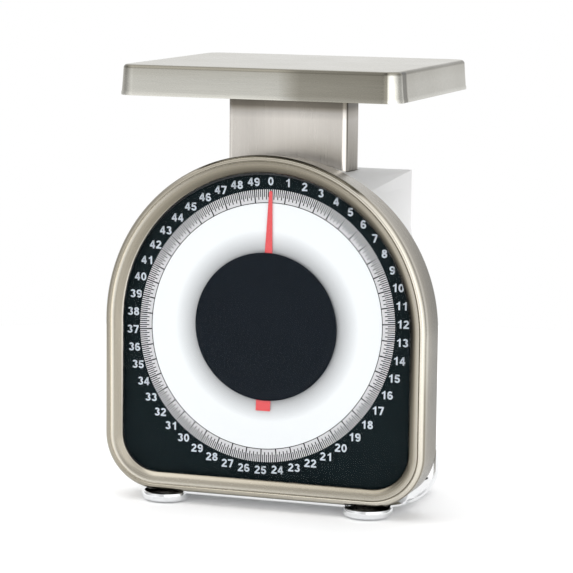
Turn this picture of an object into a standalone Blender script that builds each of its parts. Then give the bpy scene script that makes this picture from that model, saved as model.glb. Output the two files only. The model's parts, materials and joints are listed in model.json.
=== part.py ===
"""Spring letter scale: pan on a steel column, round dial, sheet steel shroud, housing and base.

Sizes are in millimetres and become metres in the mesh functions. X runs to the right, Y runs to the
back and Z up. The origin is on the floor, under the middle of the scale's overall box.
Depths in the tables below are counted from the front ridge of the shroud and FRONT moves them.
"""
import math

import bmesh
import bpy

MM = 0.001
GAP = 0.3                      # clearance between separate pieces that touch
FRONT = -57.0                  # Y of the shroud's front ridge

# ---- driving dimensions ----------------------------------------------------------------------
DIAL_Z = 101.0                 # centre of the dial above the floor
SHROUD_R = 92.0                # half width and arch radius of the shroud
SHROUD_BOTTOM = 7.0            # lowest edge of the shroud above the floor
SHROUD_CORNER = 30.0           # radius of the two lower corners
SHROUD_DEPTH = 25.0
ARCH_RISE = 2.7                # the arch is this much taller at its front edge than at the back
SHEET = 1.2                    # sheet thickness of shroud, housing, column and pan
WINDOW_INSET = 9.8             # from the shroud's outline to the edge of its window

DIAL_FACE = 7.2                # depth of the printed face
DIAL_T = 1.0
DIAL_INSET = 3.2
LENS_FACE = 4.1
LENS_T = 1.0
LENS_INSET = 4.5
SPACER_FACE = 5.4
SPACER_T = 1.5
SPACER_INSETS = (3.4, 8.8)
HUB_DISC_R = 40.7
HUB_DISC_FACE = 5.4
HUB_DISC_T = 0.7
POINTER_FACE = 6.35
POINTER_T = 0.4
POINTER_TIP = 74.5             # reach of the pointer above the arbor
POINTER_TAIL = 46.5            # reach of the counterweight below the arbor
POINTER_TAIL_START = 30.0
POINTER_HALVES = (1.1, 2.6, 4.2)   # half width at the tip, at the arbor and along the tail
POINTER_HUB_R = 5.0

HOUSING_FRONT = 21.0           # the housing starts inside the shroud
HOUSING_BEND = 25.4            # and tapers from just behind it
HOUSING_BACK = 98.5
HOUSING_INSET = 1.6
HOUSING_HALF = 54.5            # half width at the back
HOUSING_TOP = 181.0
HOUSING_BOTTOM = 7.4
FLOOR_OPENING_HALF = 55.0      # the frame stands on the base through this opening
FOLD_LOW = 53.0                # arch angles where the two corner folds end
FOLD_HIGH = 62.0

BASE_HALF = 76.0
BASE_SPAN = (5.0, 97.0)
BASE_Z = (4.7, 6.6)
BASE_CORNER = 22.0
CRADLE_HALF = 92.0             # upturned flange of the base, just behind the shroud
CRADLE_CORNER = 21.0
CRADLE_TOP = 38.0
CRADLE_SPAN = (25.4, 31.4)
FOOT_X = 58.5
FOOT_DEPTHS = (9.5, 84.0)
FOOT_R = 14.0
FOOT_LOW = 0.4
FOOT_TOP = 5.6
PAD_R = 8.0
PAD_T = 2.0

PAN_HALF = 79.5
PAN_SPAN = (-15.5, 129.5)
PAN_Z = (226.0, 242.5)
PAN_FLARE = 1.3                # the rim leans out by this much from top to bottom
PAN_CORNER = 10.0
PAN_EDGE = 2.0                 # rounding between the top and the rim

COLUMN_HALF = 34.4
COLUMN_SPAN = (38.2, 59.6)
COLUMN_Z = (30.0, 238.6)
COLUMN_BEND = 3.0

WINDOW_MARGIN = 2.5            # play above and below the beam in the column's windows

TRAVEL = 20.1                  # how far a full load sinks the pan
GEAR_MODULE = 0.8
PINION_TEETH = 8
PITCH_R = GEAR_MODULE * PINION_TEETH / 2
RACK_PITCH = math.pi * GEAR_MODULE
RACK_BACK = 8.4                # X of the rack's plain back
GEAR_SPAN = (15.5, 18.5)       # depth of the rack and the pinion
ADDENDUM = 0.6                 # tooth height outside the pitch line
DEDENDUM = 0.9                 # tooth depth inside it
RACK_TEETH = 12
RACK_LOW = 58.0
ARBOR_R = 1.5
ARBOR_SPAN = (6.3, 26.0)
MOVEMENT_FRONT = 11.0
MOVEMENT_REAR = 24.2
MOVEMENT_T = 1.5
MOVEMENT_HALVES = ((20.0, 15.0), (56.0, 17.0))   # half width and half height, front and rear plate
BUSH_R = 3.6
BUSH_T = 2.6
BUSH_PROUD = 0.5
PILLAR_R = 2.4
PILLAR_PLACES = ((-16.0, -11.0), (16.0, -11.0), (16.0, 11.0), (-16.0, 11.0))
STANDOFF_R = 3.0
STANDOFF_X = 48.0
STANDOFF_RISE = 10.0
ROLLER_R = 2.6
ROLLER_BORE_R = 1.17
ROLLER_PIN_R = 1.1
RUNNING_FIT = 0.05             # radial clearance of a shaft in its bore

BRACKET_T = 1.5
BRACKET_Z = (61.0, 79.0)
BRACKET_FRONT = 13.5
BRACKET_LEFT = -14.0
BRACKET_SCREW_X = -8.0
BRACKET_SCREW_LEVELS = (66.0, 74.0)
SCREW_HOLE_R = 1.9
SCREW_RADII = (3.2, 1.6)       # head and shank

CHEEK_X = (40.0, 41.6)
CHEEK_SPAN = (26.1, 93.0)
CHEEK_Z = (6.9, 168.0)
CHEEK_FLANGE = 13.0
CHEEK_T = 1.6
TIE_SPAN = (90.5, 92.0)
TIE_Z = (20.0, 150.0)
LINK_ARM_X = (35.6, 37.1)
LINK_LENGTH = 33.0
LINK_PIVOT_DEPTH = 85.0
LINK_LEVELS = {"upper": 115.0, "lower": 62.0}   # height of each pair of frame pivots
LINK_RISE = TRAVEL / 2                          # column pivots stand this much higher at rest
LINK_HALF = 4.0                                 # half width of a link arm
LINK_EYE_R = 5.0
LINK_CROSS = (8.0, 14.0)                        # cross bar's reach from the frame pivots
LINK_CROSS_HALF = 1.0
SLOT_HALF = 1.6                                 # play of the column's pins along the slots
ROD_R = 2.0
ROD_PROUD = 1.5                                 # how far rods and beam stand out of the cheeks

SPRING_DEPTH = 50.0
SPRING_X = 15.0
SPRING_R = 6.2
SPRING_WIRE = 0.85
SPRING_Z = (51.0, 128.0)
SPRING_TURNS = 11
BEAM_Z = (140.0, 144.0)
BEAM_SPAN = (46.0, 54.0)
YOKE_Z = (129.5, 133.0)
YOKE_HALF = 25.0
LOAD_BAR_Z = (45.0, 49.0)
BAR_HALF = 4.0                 # half depth of the yoke and the load bar
ZERO_SCREW_R = 2.5
KNOB_Z = (196.0, 204.0)
KNOB_R = 8.5
KNOB_POINTS = 36
KNURL = 0.5
STOP_R = 5.0
STOP_TOP = 9.7

SPIDER_HALF = 58.0
SPIDER_REACH = (16.0, 32.0)    # how far the spider runs out in front of and behind the column
TONGUE_DROP = 12.0
PAN_SCREW_X = 48.0
PAN_SCREW_EDGE = 9.0
PAN_SCREW_HEAD = 2.4

# ---- materials -------------------------------------------------------------------------------
FINISHES = {                   # colour, roughness, metallic
    "stainless": ((0.62, 0.60, 0.56), 0.32, 1.0),
    "chrome": ((0.80, 0.80, 0.80), 0.10, 1.0),
    "white_paint": ((0.80, 0.81, 0.82), 0.40, 0.0),
    "dial": ((0.02, 0.03, 0.04), 0.50, 0.0),
    "clear": ((0.90, 0.92, 0.93), 0.05, 0.0),
    "black_disc": ((0.02, 0.02, 0.025), 0.40, 0.0),
    "red": ((0.80, 0.08, 0.07), 0.45, 0.0),
    "zinc": ((0.55, 0.56, 0.57), 0.45, 1.0),
    "brass": ((0.72, 0.53, 0.24), 0.30, 1.0),
    "black_plastic": ((0.03, 0.03, 0.03), 0.50, 0.0),
    "rubber": ((0.03, 0.03, 0.03), 0.80, 0.0),
}


def finish(name):
    """The material of that name, made the first time it is asked for."""
    material = bpy.data.materials.get(name)
    if material is None:
        colour, roughness, metallic = FINISHES[name]
        material = bpy.data.materials.new(name)
        material.use_nodes = True
        shader = material.node_tree.nodes["Principled BSDF"]
        shader.inputs["Base Color"].default_value = (*colour, 1.0)
        shader.inputs["Roughness"].default_value = roughness
        shader.inputs["Metallic"].default_value = metallic
    return material


# ---- mesh functions (millimetres in, metres out) ----------------------------------------------
def piece(name, points, faces, material, pivot=(0, 0, 0)):
    """An object with its origin at pivot, from points given in the scale's own frame."""
    mesh = bpy.data.meshes.new(name)
    mesh.from_pydata([[(p[i] - pivot[i]) * MM for i in range(3)] for p in points], [], faces)
    form = bmesh.new()
    form.from_mesh(mesh)
    bmesh.ops.recalc_face_normals(form, faces=form.faces)
    form.to_mesh(mesh)
    form.free()
    mesh.shade_smooth()
    mesh.set_sharp_from_angle(angle=math.radians(35))
    body = bpy.data.objects.new(name, mesh)
    body.location = [value * MM for value in pivot]
    body.data.materials.append(finish(material))
    bpy.context.scene.collection.objects.link(body)
    return body


def place(axis, a, b, along):
    """A point from its two outline values and its place along the axis."""
    return {"X": (along, a, b), "Y": (a, along, b), "Z": (a, b, along)}[axis]


def skin(rings, ring_loop, end_caps):
    """Points and faces of rings joined one after another; every ring has the same length."""
    count = len(rings[0])
    points = [point for ring in rings for point in ring]
    faces = []
    for k in range(len(rings) if ring_loop else len(rings) - 1):
        low = k * count
        high = (k + 1) % len(rings) * count
        for i in range(count):
            j = (i + 1) % count
            faces.append((low + i, low + j, high + j, high + i))
    if end_caps:
        faces.append(tuple(range(count)))
        faces.append(tuple(range(len(points) - count, len(points))))
    return points, faces


def extrude(name, outline, axis, span, material, pivot=(0, 0, 0)):
    """A flat plate or bar: an outline pushed along an axis from span[0] to span[1]."""
    rings = [[place(axis, a, b, along) for a, b in outline] for along in span]
    return piece(name, *skin(rings, False, True), material, pivot)


def block(name, x, y, z, material, pivot=(0, 0, 0)):
    outline = [(x[0], y[0]), (x[1], y[0]), (x[1], y[1]), (x[0], y[1])]
    return extrude(name, outline, "Z", z, material, pivot)


def turned(name, profile, axis, centre, material, sides=24, pivot=(0, 0, 0)):
    """A turned piece: profile holds (radius, place along the axis); its ends are closed flat."""
    rings = []
    for radius, along in profile:
        turn = [math.tau * i / sides for i in range(sides)]
        rings.append([place(axis, centre[0] + radius * math.cos(t), centre[1] + radius * math.sin(t), along)
                      for t in turn])
    return piece(name, *skin(rings, False, True), material, pivot)


def ring_shape(name, radii, axis, centre, span, material, sides=24, pivot=(0, 0, 0)):
    """A flat ring or a bush, with a bore of radii[0] and an outer radius of radii[1]."""
    section = [(radii[1], span[0]), (radii[1], span[1]), (radii[0], span[1]), (radii[0], span[0])]
    rings = []
    for radius, along in section:
        turn = [math.tau * i / sides for i in range(sides)]
        rings.append([place(axis, centre[0] + radius * math.cos(t), centre[1] + radius * math.sin(t), along)
                      for t in turn])
    return piece(name, *skin(rings, True, False), material, pivot)


def boolean(body, tool, operation):
    """Cut a tool out of a body, or join it on; the tool itself is only a guide."""
    tool.hide_render = True
    tool.display_type = "WIRE"
    change = body.modifiers.new(operation.lower(), "BOOLEAN")
    change.operation = operation
    change.object = tool
    change.solver = "EXACT"


def cut(body, tool):
    boolean(body, tool, "DIFFERENCE")


def join(body, tool):
    boolean(body, tool, "UNION")


def drill(body, radius, axis, centre, span, sides=16):
    """A round hole through a body."""
    tool = turned(f"{body.name}_drill", [(radius, span[0]), (radius, span[1])], axis, centre, "zinc", sides)
    cut(body, tool)


def arc(centre, radius, start, end, steps):
    """Points on an arc, angles in degrees, ends included."""
    turn = [math.radians(start + (end - start) * k / steps) for k in range(steps + 1)]
    return [(centre[0] + radius * math.cos(t), centre[1] + radius * math.sin(t)) for t in turn]


def tombstone(inset, arch_steps=32, corner_steps=6, rise=0.0):
    """The shroud's outline in X and Z, drawn smaller by inset: an arch on a rounded foot."""
    radius = SHROUD_R - inset
    corner = SHROUD_CORNER - inset
    low = SHROUD_BOTTOM + SHROUD_CORNER
    side = SHROUD_R - SHROUD_CORNER
    outline = arc((side, low), corner, -90, 0, corner_steps)
    arch = arc((0, DIAL_Z), radius, 0, 180, arch_steps)
    outline += [(x, z + rise * (z - DIAL_Z) / radius) for x, z in arch]
    outline += arc((-side, low), corner, 180, 270, corner_steps)
    return outline


def rounded(half_x, y, corner, steps=5):
    """A rectangle with round corners in X and Y, anticlockwise from the front right corner."""
    outline = arc((half_x - corner, y[0] + corner), corner, -90, 0, steps)
    outline += arc((half_x - corner, y[1] - corner), corner, 0, 90, steps)
    outline += arc((corner - half_x, y[1] - corner), corner, 90, 180, steps)
    outline += arc((corner - half_x, y[0] + corner), corner, 180, 270, steps)
    return outline


def depth(*values):
    """Depths behind the shroud's ridge as Y values."""
    moved = [FRONT + value for value in values]
    return moved[0] if len(moved) == 1 else moved


def screw(name, axis, centre, head, shank):
    """A pan head screw; head and shank are the places along its axis, head first."""
    wide, narrow = SCREW_RADII
    reach = head[1] - head[0]
    profile = [(wide * 0.7, head[0]), (wide, head[0] + reach * 0.4), (wide, head[1]),
               (narrow, head[1]), (narrow, shank)]
    return turned(name, profile, axis, centre, "zinc", 16)


# ---- outer shells -----------------------------------------------------------------------------
def make_shroud():
    """Rolled steel ring: side wall, rounded ridge and a broad slope in to the window."""
    lip = WINDOW_INSET
    section = [(0.0, SHROUD_DEPTH), (0.0, 3.6), (0.9, 1.1), (3.2, 0.0), (lip, 2.6), (lip, 3.8),
               (3.4, 1.3), (2.0, 1.9), (SHEET, 4.0), (SHEET, SHROUD_DEPTH)]
    rings = [[(x, depth(y), z) for x, z in tombstone(inset, rise=ARCH_RISE * (1 - y / SHROUD_DEPTH))]
             for inset, y in section]
    piece("front_shroud", *skin(rings, True, False), "stainless")


def make_housing():
    """Painted cover: inside the shroud at the front, a plain box at the back, folds between."""
    steps = (24, 4)                                # along the arch and round each lower corner

    def rear_match(half, low, top):
        """For each point of the arch outline, the point of the back wall that it runs to."""
        outline = tombstone(HOUSING_INSET, *steps)
        foot = min(z for _, z in outline)
        matched = []
        for x, z in outline:
            angle = math.degrees(math.atan2(z - DIAL_Z, abs(x)))
            if z < DIAL_Z:
                level = low + (z - foot) * (DIAL_Z - low) / (DIAL_Z - foot)
                matched.append((math.copysign(half, x), level))
            elif angle <= FOLD_LOW:
                matched.append((math.copysign(half, x), z))
            elif angle <= FOLD_HIGH:
                matched.append((math.copysign(half, x), top))
            else:
                share = x / ((SHROUD_R - HOUSING_INSET) * math.cos(math.radians(FOLD_HIGH)))
                matched.append((half * share, top))
        return matched

    def shell(inset, back_y, half, low, top):
        outline = tombstone(inset, *steps)
        return [[(x, depth(HOUSING_FRONT), z) for x, z in outline],
                [(x, depth(HOUSING_BEND), z) for x, z in outline],
                [(x, depth(back_y), z) for x, z in rear_match(half, low, top)]]

    outer = shell(HOUSING_INSET, HOUSING_BACK, HOUSING_HALF, HOUSING_BOTTOM, HOUSING_TOP)
    inner = shell(HOUSING_INSET + SHEET, HOUSING_BACK - SHEET, HOUSING_HALF - SHEET,
                  HOUSING_BOTTOM + SHEET, HOUSING_TOP - SHEET)
    rings = outer[::-1] + inner
    points, faces = skin(rings, False, True)
    body = piece("rear_housing", points, faces, "white_paint")
    form = bmesh.new()
    form.from_mesh(body.data)
    bmesh.ops.remove_doubles(form, verts=form.verts, dist=0.01 * MM)
    bmesh.ops.triangulate(form, faces=form.faces)
    bmesh.ops.recalc_face_normals(form, faces=form.faces)
    form.to_mesh(body.data)
    form.free()
    margin = 1.0
    slot = block("column_slot_cutter", (-COLUMN_HALF - margin, COLUMN_HALF + margin),
                 depth(COLUMN_SPAN[0] - margin, COLUMN_SPAN[1] + margin),
                 (HOUSING_TOP - 10.0, SHROUD_R + DIAL_Z), "zinc")
    cut(body, slot)
    floor_opening = block("housing_floor_cutter", (-FLOOR_OPENING_HALF, FLOOR_OPENING_HALF),
                          depth(HOUSING_BEND - margin, CHEEK_SPAN[1] + margin / 2),
                          (0.0, HOUSING_BOTTOM + 4.0), "zinc")
    cut(body, floor_opening)


def make_base():
    """Pressed steel plate with a cradle flange, four shallow round feet and a rubber pad in each."""
    outline = rounded(BASE_HALF, depth(*BASE_SPAN), BASE_CORNER)
    plate = extrude("base_plate", outline, "Z", BASE_Z, "chrome")
    half, corner, low = CRADLE_HALF, CRADLE_CORNER, BASE_Z[0]
    outer_line = [(-half, CRADLE_TOP)] + arc((corner - half, low + corner), corner, 180, 270, 6)
    outer_line += arc((half - corner, low + corner), corner, -90, 0, 6) + [(half, CRADLE_TOP)]
    inner = corner - SHEET
    inner_line = [(half - SHEET, CRADLE_TOP)] + arc((half - corner, low + corner), inner, 0, -90, 6)
    inner_line += arc((corner - half, low + corner), inner, 270, 180, 6) + [(-half + SHEET, CRADLE_TOP)]
    join(plate, extrude("cradle_form", outer_line + inner_line, "Y", depth(*CRADLE_SPAN), "chrome"))
    for side, x in (("left", -FOOT_X), ("right", FOOT_X)):
        for end, y in zip(("front", "rear"), depth(*FOOT_DEPTHS)):
            profile = [(FOOT_R - 3.4, FOOT_LOW), (FOOT_R - 1.2, FOOT_LOW + 0.9), (FOOT_R, FOOT_LOW + 2.2),
                       (FOOT_R - 0.3, FOOT_TOP)]
            join(plate, turned(f"foot_{end}_{side}_form", profile, "Z", (x, y), "chrome", 24))
    for side, x in (("left", -FOOT_X), ("right", FOOT_X)):
        for end, y in zip(("front", "rear"), depth(*FOOT_DEPTHS)):
            drill(plate, PAD_R + GAP, "Z", (x, y), (-1.0, PAD_T + GAP), 20)
            pad = [(PAD_R - 0.5, 0.0), (PAD_R, 0.5), (PAD_R, PAD_T)]
            turned(f"foot_pad_{end}_{side}", pad, "Z", (x, y), "rubber", 20)


def make_pan():
    """Pressed pan: a flat top with a deep rim all round, open underneath."""
    top = PAN_Z[1]
    low = PAN_Z[0]

    def loop(inset, z):
        y = (PAN_SPAN[0] + inset, PAN_SPAN[1] - inset)
        corner = max(PAN_CORNER - inset, 2.0)
        return [(x, depth(value), z) for x, value in rounded(PAN_HALF - inset, y, corner)]

    rings = [loop(PAN_FLARE + PAN_EDGE, top), loop(PAN_FLARE + PAN_EDGE * 0.3, top - PAN_EDGE * 0.3),
             loop(PAN_FLARE, top - PAN_EDGE), loop(0.0, low), loop(SHEET, low),
             loop(PAN_FLARE + SHEET, top - PAN_EDGE), loop(PAN_FLARE + PAN_EDGE + 0.6, top - SHEET)]
    piece("weighing_pan", *skin(rings, False, True), "stainless")


def make_column():
    """Channel that carries the pan: open at the back, with a window in each side for the beam."""
    half = COLUMN_HALF
    y = depth(*COLUMN_SPAN)
    corner = COLUMN_BEND
    inner = corner - SHEET
    outer_line = [(half, y[1])] + arc((half - corner, y[0] + corner), corner, 0, -90, 3)
    outer_line += arc((corner - half, y[0] + corner), corner, 270, 180, 3) + [(-half, y[1])]
    inner_line = [(-half + SHEET, y[1])] + arc((corner - half, y[0] + corner), inner, 180, 270, 3)
    inner_line += arc((half - corner, y[0] + corner), inner, -90, 0, 3) + [(half - SHEET, y[1])]
    column = extrude("column", outer_line + inner_line, "Z", COLUMN_Z, "stainless")
    reach = (-half - 2.0, half + 2.0)
    window = block("beam_window_cutter", reach, depth(BEAM_SPAN[0] - 1.5, BEAM_SPAN[1] + 1.5),
                   (BEAM_Z[0] - WINDOW_MARGIN, BEAM_Z[1] + TRAVEL + WINDOW_MARGIN), "zinc")
    cut(column, window)
    for level in LINK_LEVELS.values():
        drill(column, ROD_R + GAP, "X", (column_pivot_y(), level + LINK_RISE), reach)


# ---- dial and pointer -------------------------------------------------------------------------
def make_dial():
    dial = extrude("dial_plate", tombstone(DIAL_INSET), "Y", depth(DIAL_FACE, DIAL_FACE + DIAL_T), "dial")
    drill(dial, ARBOR_R + 2.0, "Y", (0, DIAL_Z), depth(0, 20))
    extrude("dial_lens", tombstone(LENS_INSET), "Y", depth(LENS_FACE, LENS_FACE + LENS_T), "clear")
    front, back = depth(SPACER_FACE, SPACER_FACE + SPACER_T)
    outside, inside = (tombstone(inset) for inset in SPACER_INSETS)
    rings = [[(x, y, z) for x, z in outline]
             for outline, y in ((outside, front), (outside, back), (inside, back), (inside, front))]
    piece("lens_spacer", *skin(rings, True, False), "black_plastic")


def make_pointer():
    """Flat pointer with a square tail, and the plain disc in front that balances it."""
    arbor = (0, depth(POINTER_FACE), DIAL_Z)
    tip, waist, tail = POINTER_HALVES
    right = [(tail, -POINTER_TAIL), (tail, -POINTER_TAIL_START), (waist, 0.0), (tip, POINTER_TIP)]
    outline = [(x, DIAL_Z + rise) for x, rise in right] + [(-x, DIAL_Z + rise) for x, rise in right[::-1]]
    pointer = extrude("pointer", outline, "Y", depth(POINTER_FACE, POINTER_FACE + POINTER_T), "red", arbor)
    pointer_hub = turned("pointer_hub_form", [(POINTER_HUB_R, depth(POINTER_FACE)),
                                              (POINTER_HUB_R, depth(POINTER_FACE + POINTER_T))],
                         "Y", (0, DIAL_Z), "red", 24)
    join(pointer, pointer_hub)
    drill(pointer, ARBOR_R + GAP, "Y", (0, DIAL_Z), depth(0, 20))
    disc = [(HUB_DISC_R - 0.5, depth(HUB_DISC_FACE)), (HUB_DISC_R, depth(HUB_DISC_FACE + 0.25)),
            (HUB_DISC_R, depth(HUB_DISC_FACE + HUB_DISC_T))]
    turned("hub_disc", disc, "Y", (0, DIAL_Z), "black_disc", 64, arbor)


# ---- rack, pinion and movement ------------------------------------------------------------------
def make_gears():
    """Eight tooth pinion on the pointer's arbor, in mesh with a rack on its right-hand side."""
    centre = (0, depth(GEAR_SPAN[0]), DIAL_Z)
    root, tip = PITCH_R - DEDENDUM, PITCH_R + ADDENDUM
    wide, narrow = 13.0, 6.0                       # half angles of a tooth at its root and tip
    outline = []
    for k in range(PINION_TEETH):
        middle = 360 * (k + 0.5) / PINION_TEETH
        for radius, turn in ((root, -wide), (tip, -narrow), (tip, narrow), (root, wide)):
            angle = math.radians(middle + turn)
            outline.append((radius * math.cos(angle), DIAL_Z + radius * math.sin(angle)))
    pinion = extrude("pinion", outline, "Y", depth(*GEAR_SPAN), "brass", centre)
    drill(pinion, ARBOR_R + RUNNING_FIT, "Y", (0, DIAL_Z), depth(0, 40), 24)

    tip_x, root_x = PITCH_R - ADDENDUM, PITCH_R + 1.0
    foot_half, crest_half = 0.75, 0.3              # half widths of a rack tooth
    outline = [(RACK_BACK, RACK_LOW), (root_x, RACK_LOW)]
    for k in range(RACK_TEETH):
        middle = DIAL_Z + (k - 1) * RACK_PITCH
        outline += [(root_x, middle - foot_half), (tip_x, middle - crest_half),
                    (tip_x, middle + crest_half), (root_x, middle + foot_half)]
    rack_top = DIAL_Z + (RACK_TEETH - 2) * RACK_PITCH + 1.9
    outline += [(root_x, rack_top), (RACK_BACK, rack_top)]
    extrude("rack", outline, "Y", depth(*GEAR_SPAN), "brass")

    arbor = [(ARBOR_R, y) for y in depth(*ARBOR_SPAN)]
    turned("pointer_arbor", arbor, "Y", (0, DIAL_Z), "zinc", 24, centre)


def make_rack_bracket():
    """Angle plate screwed to the column's web, reaching forward to carry the rack."""
    web = COLUMN_SPAN[0]
    near = web - GAP
    arm = (RACK_BACK + GAP, RACK_BACK + GAP + BRACKET_T)
    outline = [(arm[1], depth(BRACKET_FRONT)), (arm[1], depth(near)), (BRACKET_LEFT, depth(near)),
               (BRACKET_LEFT, depth(near - BRACKET_T)), (arm[0], depth(near - BRACKET_T)),
               (arm[0], depth(BRACKET_FRONT))]
    bracket = extrude("rack_bracket", outline, "Z", BRACKET_Z, "zinc")
    for number, z in enumerate(BRACKET_SCREW_LEVELS, 1):
        drill(bracket, SCREW_HOLE_R, "Y", (BRACKET_SCREW_X, z), depth(near - 5.0, near + 1.0))
        seat = near - BRACKET_T
        screw(f"rack_bracket_screw_{number}", "Y", (BRACKET_SCREW_X, z),
              depth(seat - GAP - 2.2, seat - GAP), depth(web - 0.2))


def make_movement():
    """Two plates and four pillars that carry the arbor's bushes and the rack's guide roller."""
    plates = (("movement_front_plate", MOVEMENT_FRONT, "front_bush"),
              ("movement_rear_plate", MOVEMENT_REAR, "rear_bush"))
    for (name, face, bush), (half, rise) in zip(plates, MOVEMENT_HALVES):
        plate = block(name, (-half, half), depth(face, face + MOVEMENT_T), (DIAL_Z - rise, DIAL_Z + rise),
                      "zinc")
        drill(plate, BUSH_R + GAP, "Y", (0, DIAL_Z), depth(face - 2, face + 4))
        start = face - BUSH_PROUD
        ring_shape(bush, (ARBOR_R + RUNNING_FIT, BUSH_R), "Y", (0, DIAL_Z),
                   depth(start, start + BUSH_T), "brass")
    between = depth(MOVEMENT_FRONT + MOVEMENT_T + GAP, MOVEMENT_REAR - GAP)
    for number, (x, rise) in enumerate(PILLAR_PLACES, 1):
        turned(f"movement_pillar_{number}", [(PILLAR_R, y) for y in between], "Y", (x, DIAL_Z + rise),
               "zinc", 12)
    roller_x = RACK_BACK + GAP + ROLLER_R
    ring_shape("rack_roller", (ROLLER_BORE_R, ROLLER_R), "Y", (roller_x, DIAL_Z), depth(*GEAR_SPAN),
               "brass", 20, (roller_x, depth(GEAR_SPAN[0]), DIAL_Z))
    turned("roller_pin", [(ROLLER_PIN_R, y) for y in between], "Y", (roller_x, DIAL_Z), "zinc", 12)
    behind_dial = depth(DIAL_FACE + DIAL_T + GAP, MOVEMENT_REAR - GAP)
    for side, x in (("left", -STANDOFF_X), ("right", STANDOFF_X)):
        for end, rise in (("lower", -STANDOFF_RISE), ("upper", STANDOFF_RISE)):
            turned(f"dial_standoff_{end}_{side}", [(STANDOFF_R, y) for y in behind_dial], "Y",
                   (x, DIAL_Z + rise), "zinc", 12)


# ---- frame, check links and springs -------------------------------------------------------------
def column_pivot_y():
    """Depth of the pivots on the column, with the links at their rest angle."""
    return depth(LINK_PIVOT_DEPTH) - math.sqrt(LINK_LENGTH ** 2 - LINK_RISE ** 2)


def make_frame():
    """Two upright cheeks on the base, tied at the back and bridged by the spring beam."""
    y = depth(*CHEEK_SPAN)
    for side, mirror in (("left", -1), ("right", 1)):
        near, far = (mirror * value for value in CHEEK_X)
        edge = far + mirror * CHEEK_FLANGE
        outline = [(near, y[0]), (near, y[1]), (far, y[1]), (far, y[0] + CHEEK_T),
                   (edge, y[0] + CHEEK_T), (edge, y[0])]
        cheek = extrude(f"frame_cheek_{side}", outline, "Z", CHEEK_Z, "zinc")
        foot = block(f"cheek_foot_{side}_form", sorted((near, edge)), (y[0] + 4.0, y[1] - 3.0),
                     (CHEEK_Z[0], CHEEK_Z[0] + CHEEK_T), "zinc")
        join(cheek, foot)
        reach = sorted((near - mirror * 3.0, far + mirror * 3.0))
        for level in LINK_LEVELS.values():
            drill(cheek, ROD_R + RUNNING_FIT, "X", (depth(LINK_PIVOT_DEPTH), level), reach)
        slot = block(f"beam_slot_cutter_{side}", reach, depth(BEAM_SPAN[0] - GAP, BEAM_SPAN[1] + GAP),
                     (BEAM_Z[0] - GAP, BEAM_Z[1] + GAP), "zinc")
        cut(cheek, slot)
    inside = CHEEK_X[0] - GAP
    block("frame_rear_tie", (-inside, inside), depth(*TIE_SPAN), TIE_Z, "zinc")
    outside = CHEEK_X[1] + ROD_PROUD
    beam = block("spring_beam", (-outside, outside), depth(*BEAM_SPAN), BEAM_Z, "zinc")
    drill(beam, ZERO_SCREW_R + GAP, "Z", (0, depth(SPRING_DEPTH)), (BEAM_Z[0] - 2, BEAM_Z[1] + 2))


def make_links():
    """Upper and lower check links that keep the column upright; the column ends are slotted."""
    for name, level in LINK_LEVELS.items():
        make_link(name, level)


def make_link(name, level):
    """Two arms and a cross bar in one piece, with its rod in the frame and its pins in the column."""
    run = math.sqrt(LINK_LENGTH ** 2 - LINK_RISE ** 2)
    root = (depth(LINK_PIVOT_DEPTH), level)
    tip = (column_pivot_y(), level + LINK_RISE)
    pivot = (0, root[0], root[1])
    slope = math.atan2(LINK_RISE, -run)
    turn = math.degrees(slope)
    outline = arc(root, LINK_HALF, turn + 90, turn + 270, 6)
    outline += arc(tip, LINK_EYE_R, turn - 90, turn + 90, 8)
    arms = []
    for side, mirror in (("left", -1), ("right", 1)):
        span = sorted(mirror * value for value in LINK_ARM_X)
        arms.append(extrude(f"{name}_link_arm_{side}", outline, "X", span, "zinc", pivot))
    link = arms[0]
    link.name = f"{name}_check_link"
    half = LINK_ARM_X[0] + 0.5
    near, far = LINK_CROSS
    middle = level + (near + far) / 2 * LINK_RISE / run
    cross = block(f"{name}_link_cross_form", (-half, half), (root[0] - far, root[0] - near),
                  (middle - LINK_CROSS_HALF, middle + LINK_CROSS_HALF), "zinc")
    join(link, arms[1])
    join(link, cross)
    reach = (-LINK_ARM_X[1] - 2.0, LINK_ARM_X[1] + 2.0)
    drill(link, ROD_R + RUNNING_FIT, "X", root, reach)
    across = (math.cos(slope) * SLOT_HALF, math.sin(slope) * SLOT_HALF)
    slot = arc((tip[0] + across[0], tip[1] + across[1]), ROD_R + GAP, turn - 90, turn + 90, 6)
    slot += arc((tip[0] - across[0], tip[1] - across[1]), ROD_R + GAP, turn + 90, turn + 270, 6)
    cut(link, extrude(f"{name}_link_slot_cutter", slot, "X", reach, "zinc"))
    outside = CHEEK_X[1] + ROD_PROUD
    turned(f"{name}_frame_rod", [(ROD_R, -outside), (ROD_R, outside)], "X", root, "zinc", 16)
    for side, mirror in (("left", -1), ("right", 1)):
        ends = sorted((mirror * (COLUMN_HALF - SHEET - 1.5), mirror * (LINK_ARM_X[1] + 1.0)))
        turned(f"{name}_column_pin_{side}", [(ROD_R, x) for x in ends], "X", tip, "zinc", 16)


def make_spring(name, x):
    """Extension spring as one closed coil."""
    sides, steps_per_turn = 5, 12
    rings = []
    steps = SPRING_TURNS * steps_per_turn
    low, high = SPRING_Z[0] + SPRING_WIRE, SPRING_Z[1] - SPRING_WIRE
    lead = (high - low) / steps
    for k in range(steps + 1):
        turn = math.tau * k / steps_per_turn
        ring = []
        for s in range(sides):
            spin = math.tau * s / sides
            radius = SPRING_R + SPRING_WIRE * math.cos(spin)
            ring.append((x + radius * math.cos(turn), depth(SPRING_DEPTH) + radius * math.sin(turn),
                         low + lead * k + SPRING_WIRE * math.sin(spin)))
        rings.append(ring)
    piece(name, *skin(rings, False, True), "zinc")


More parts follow.
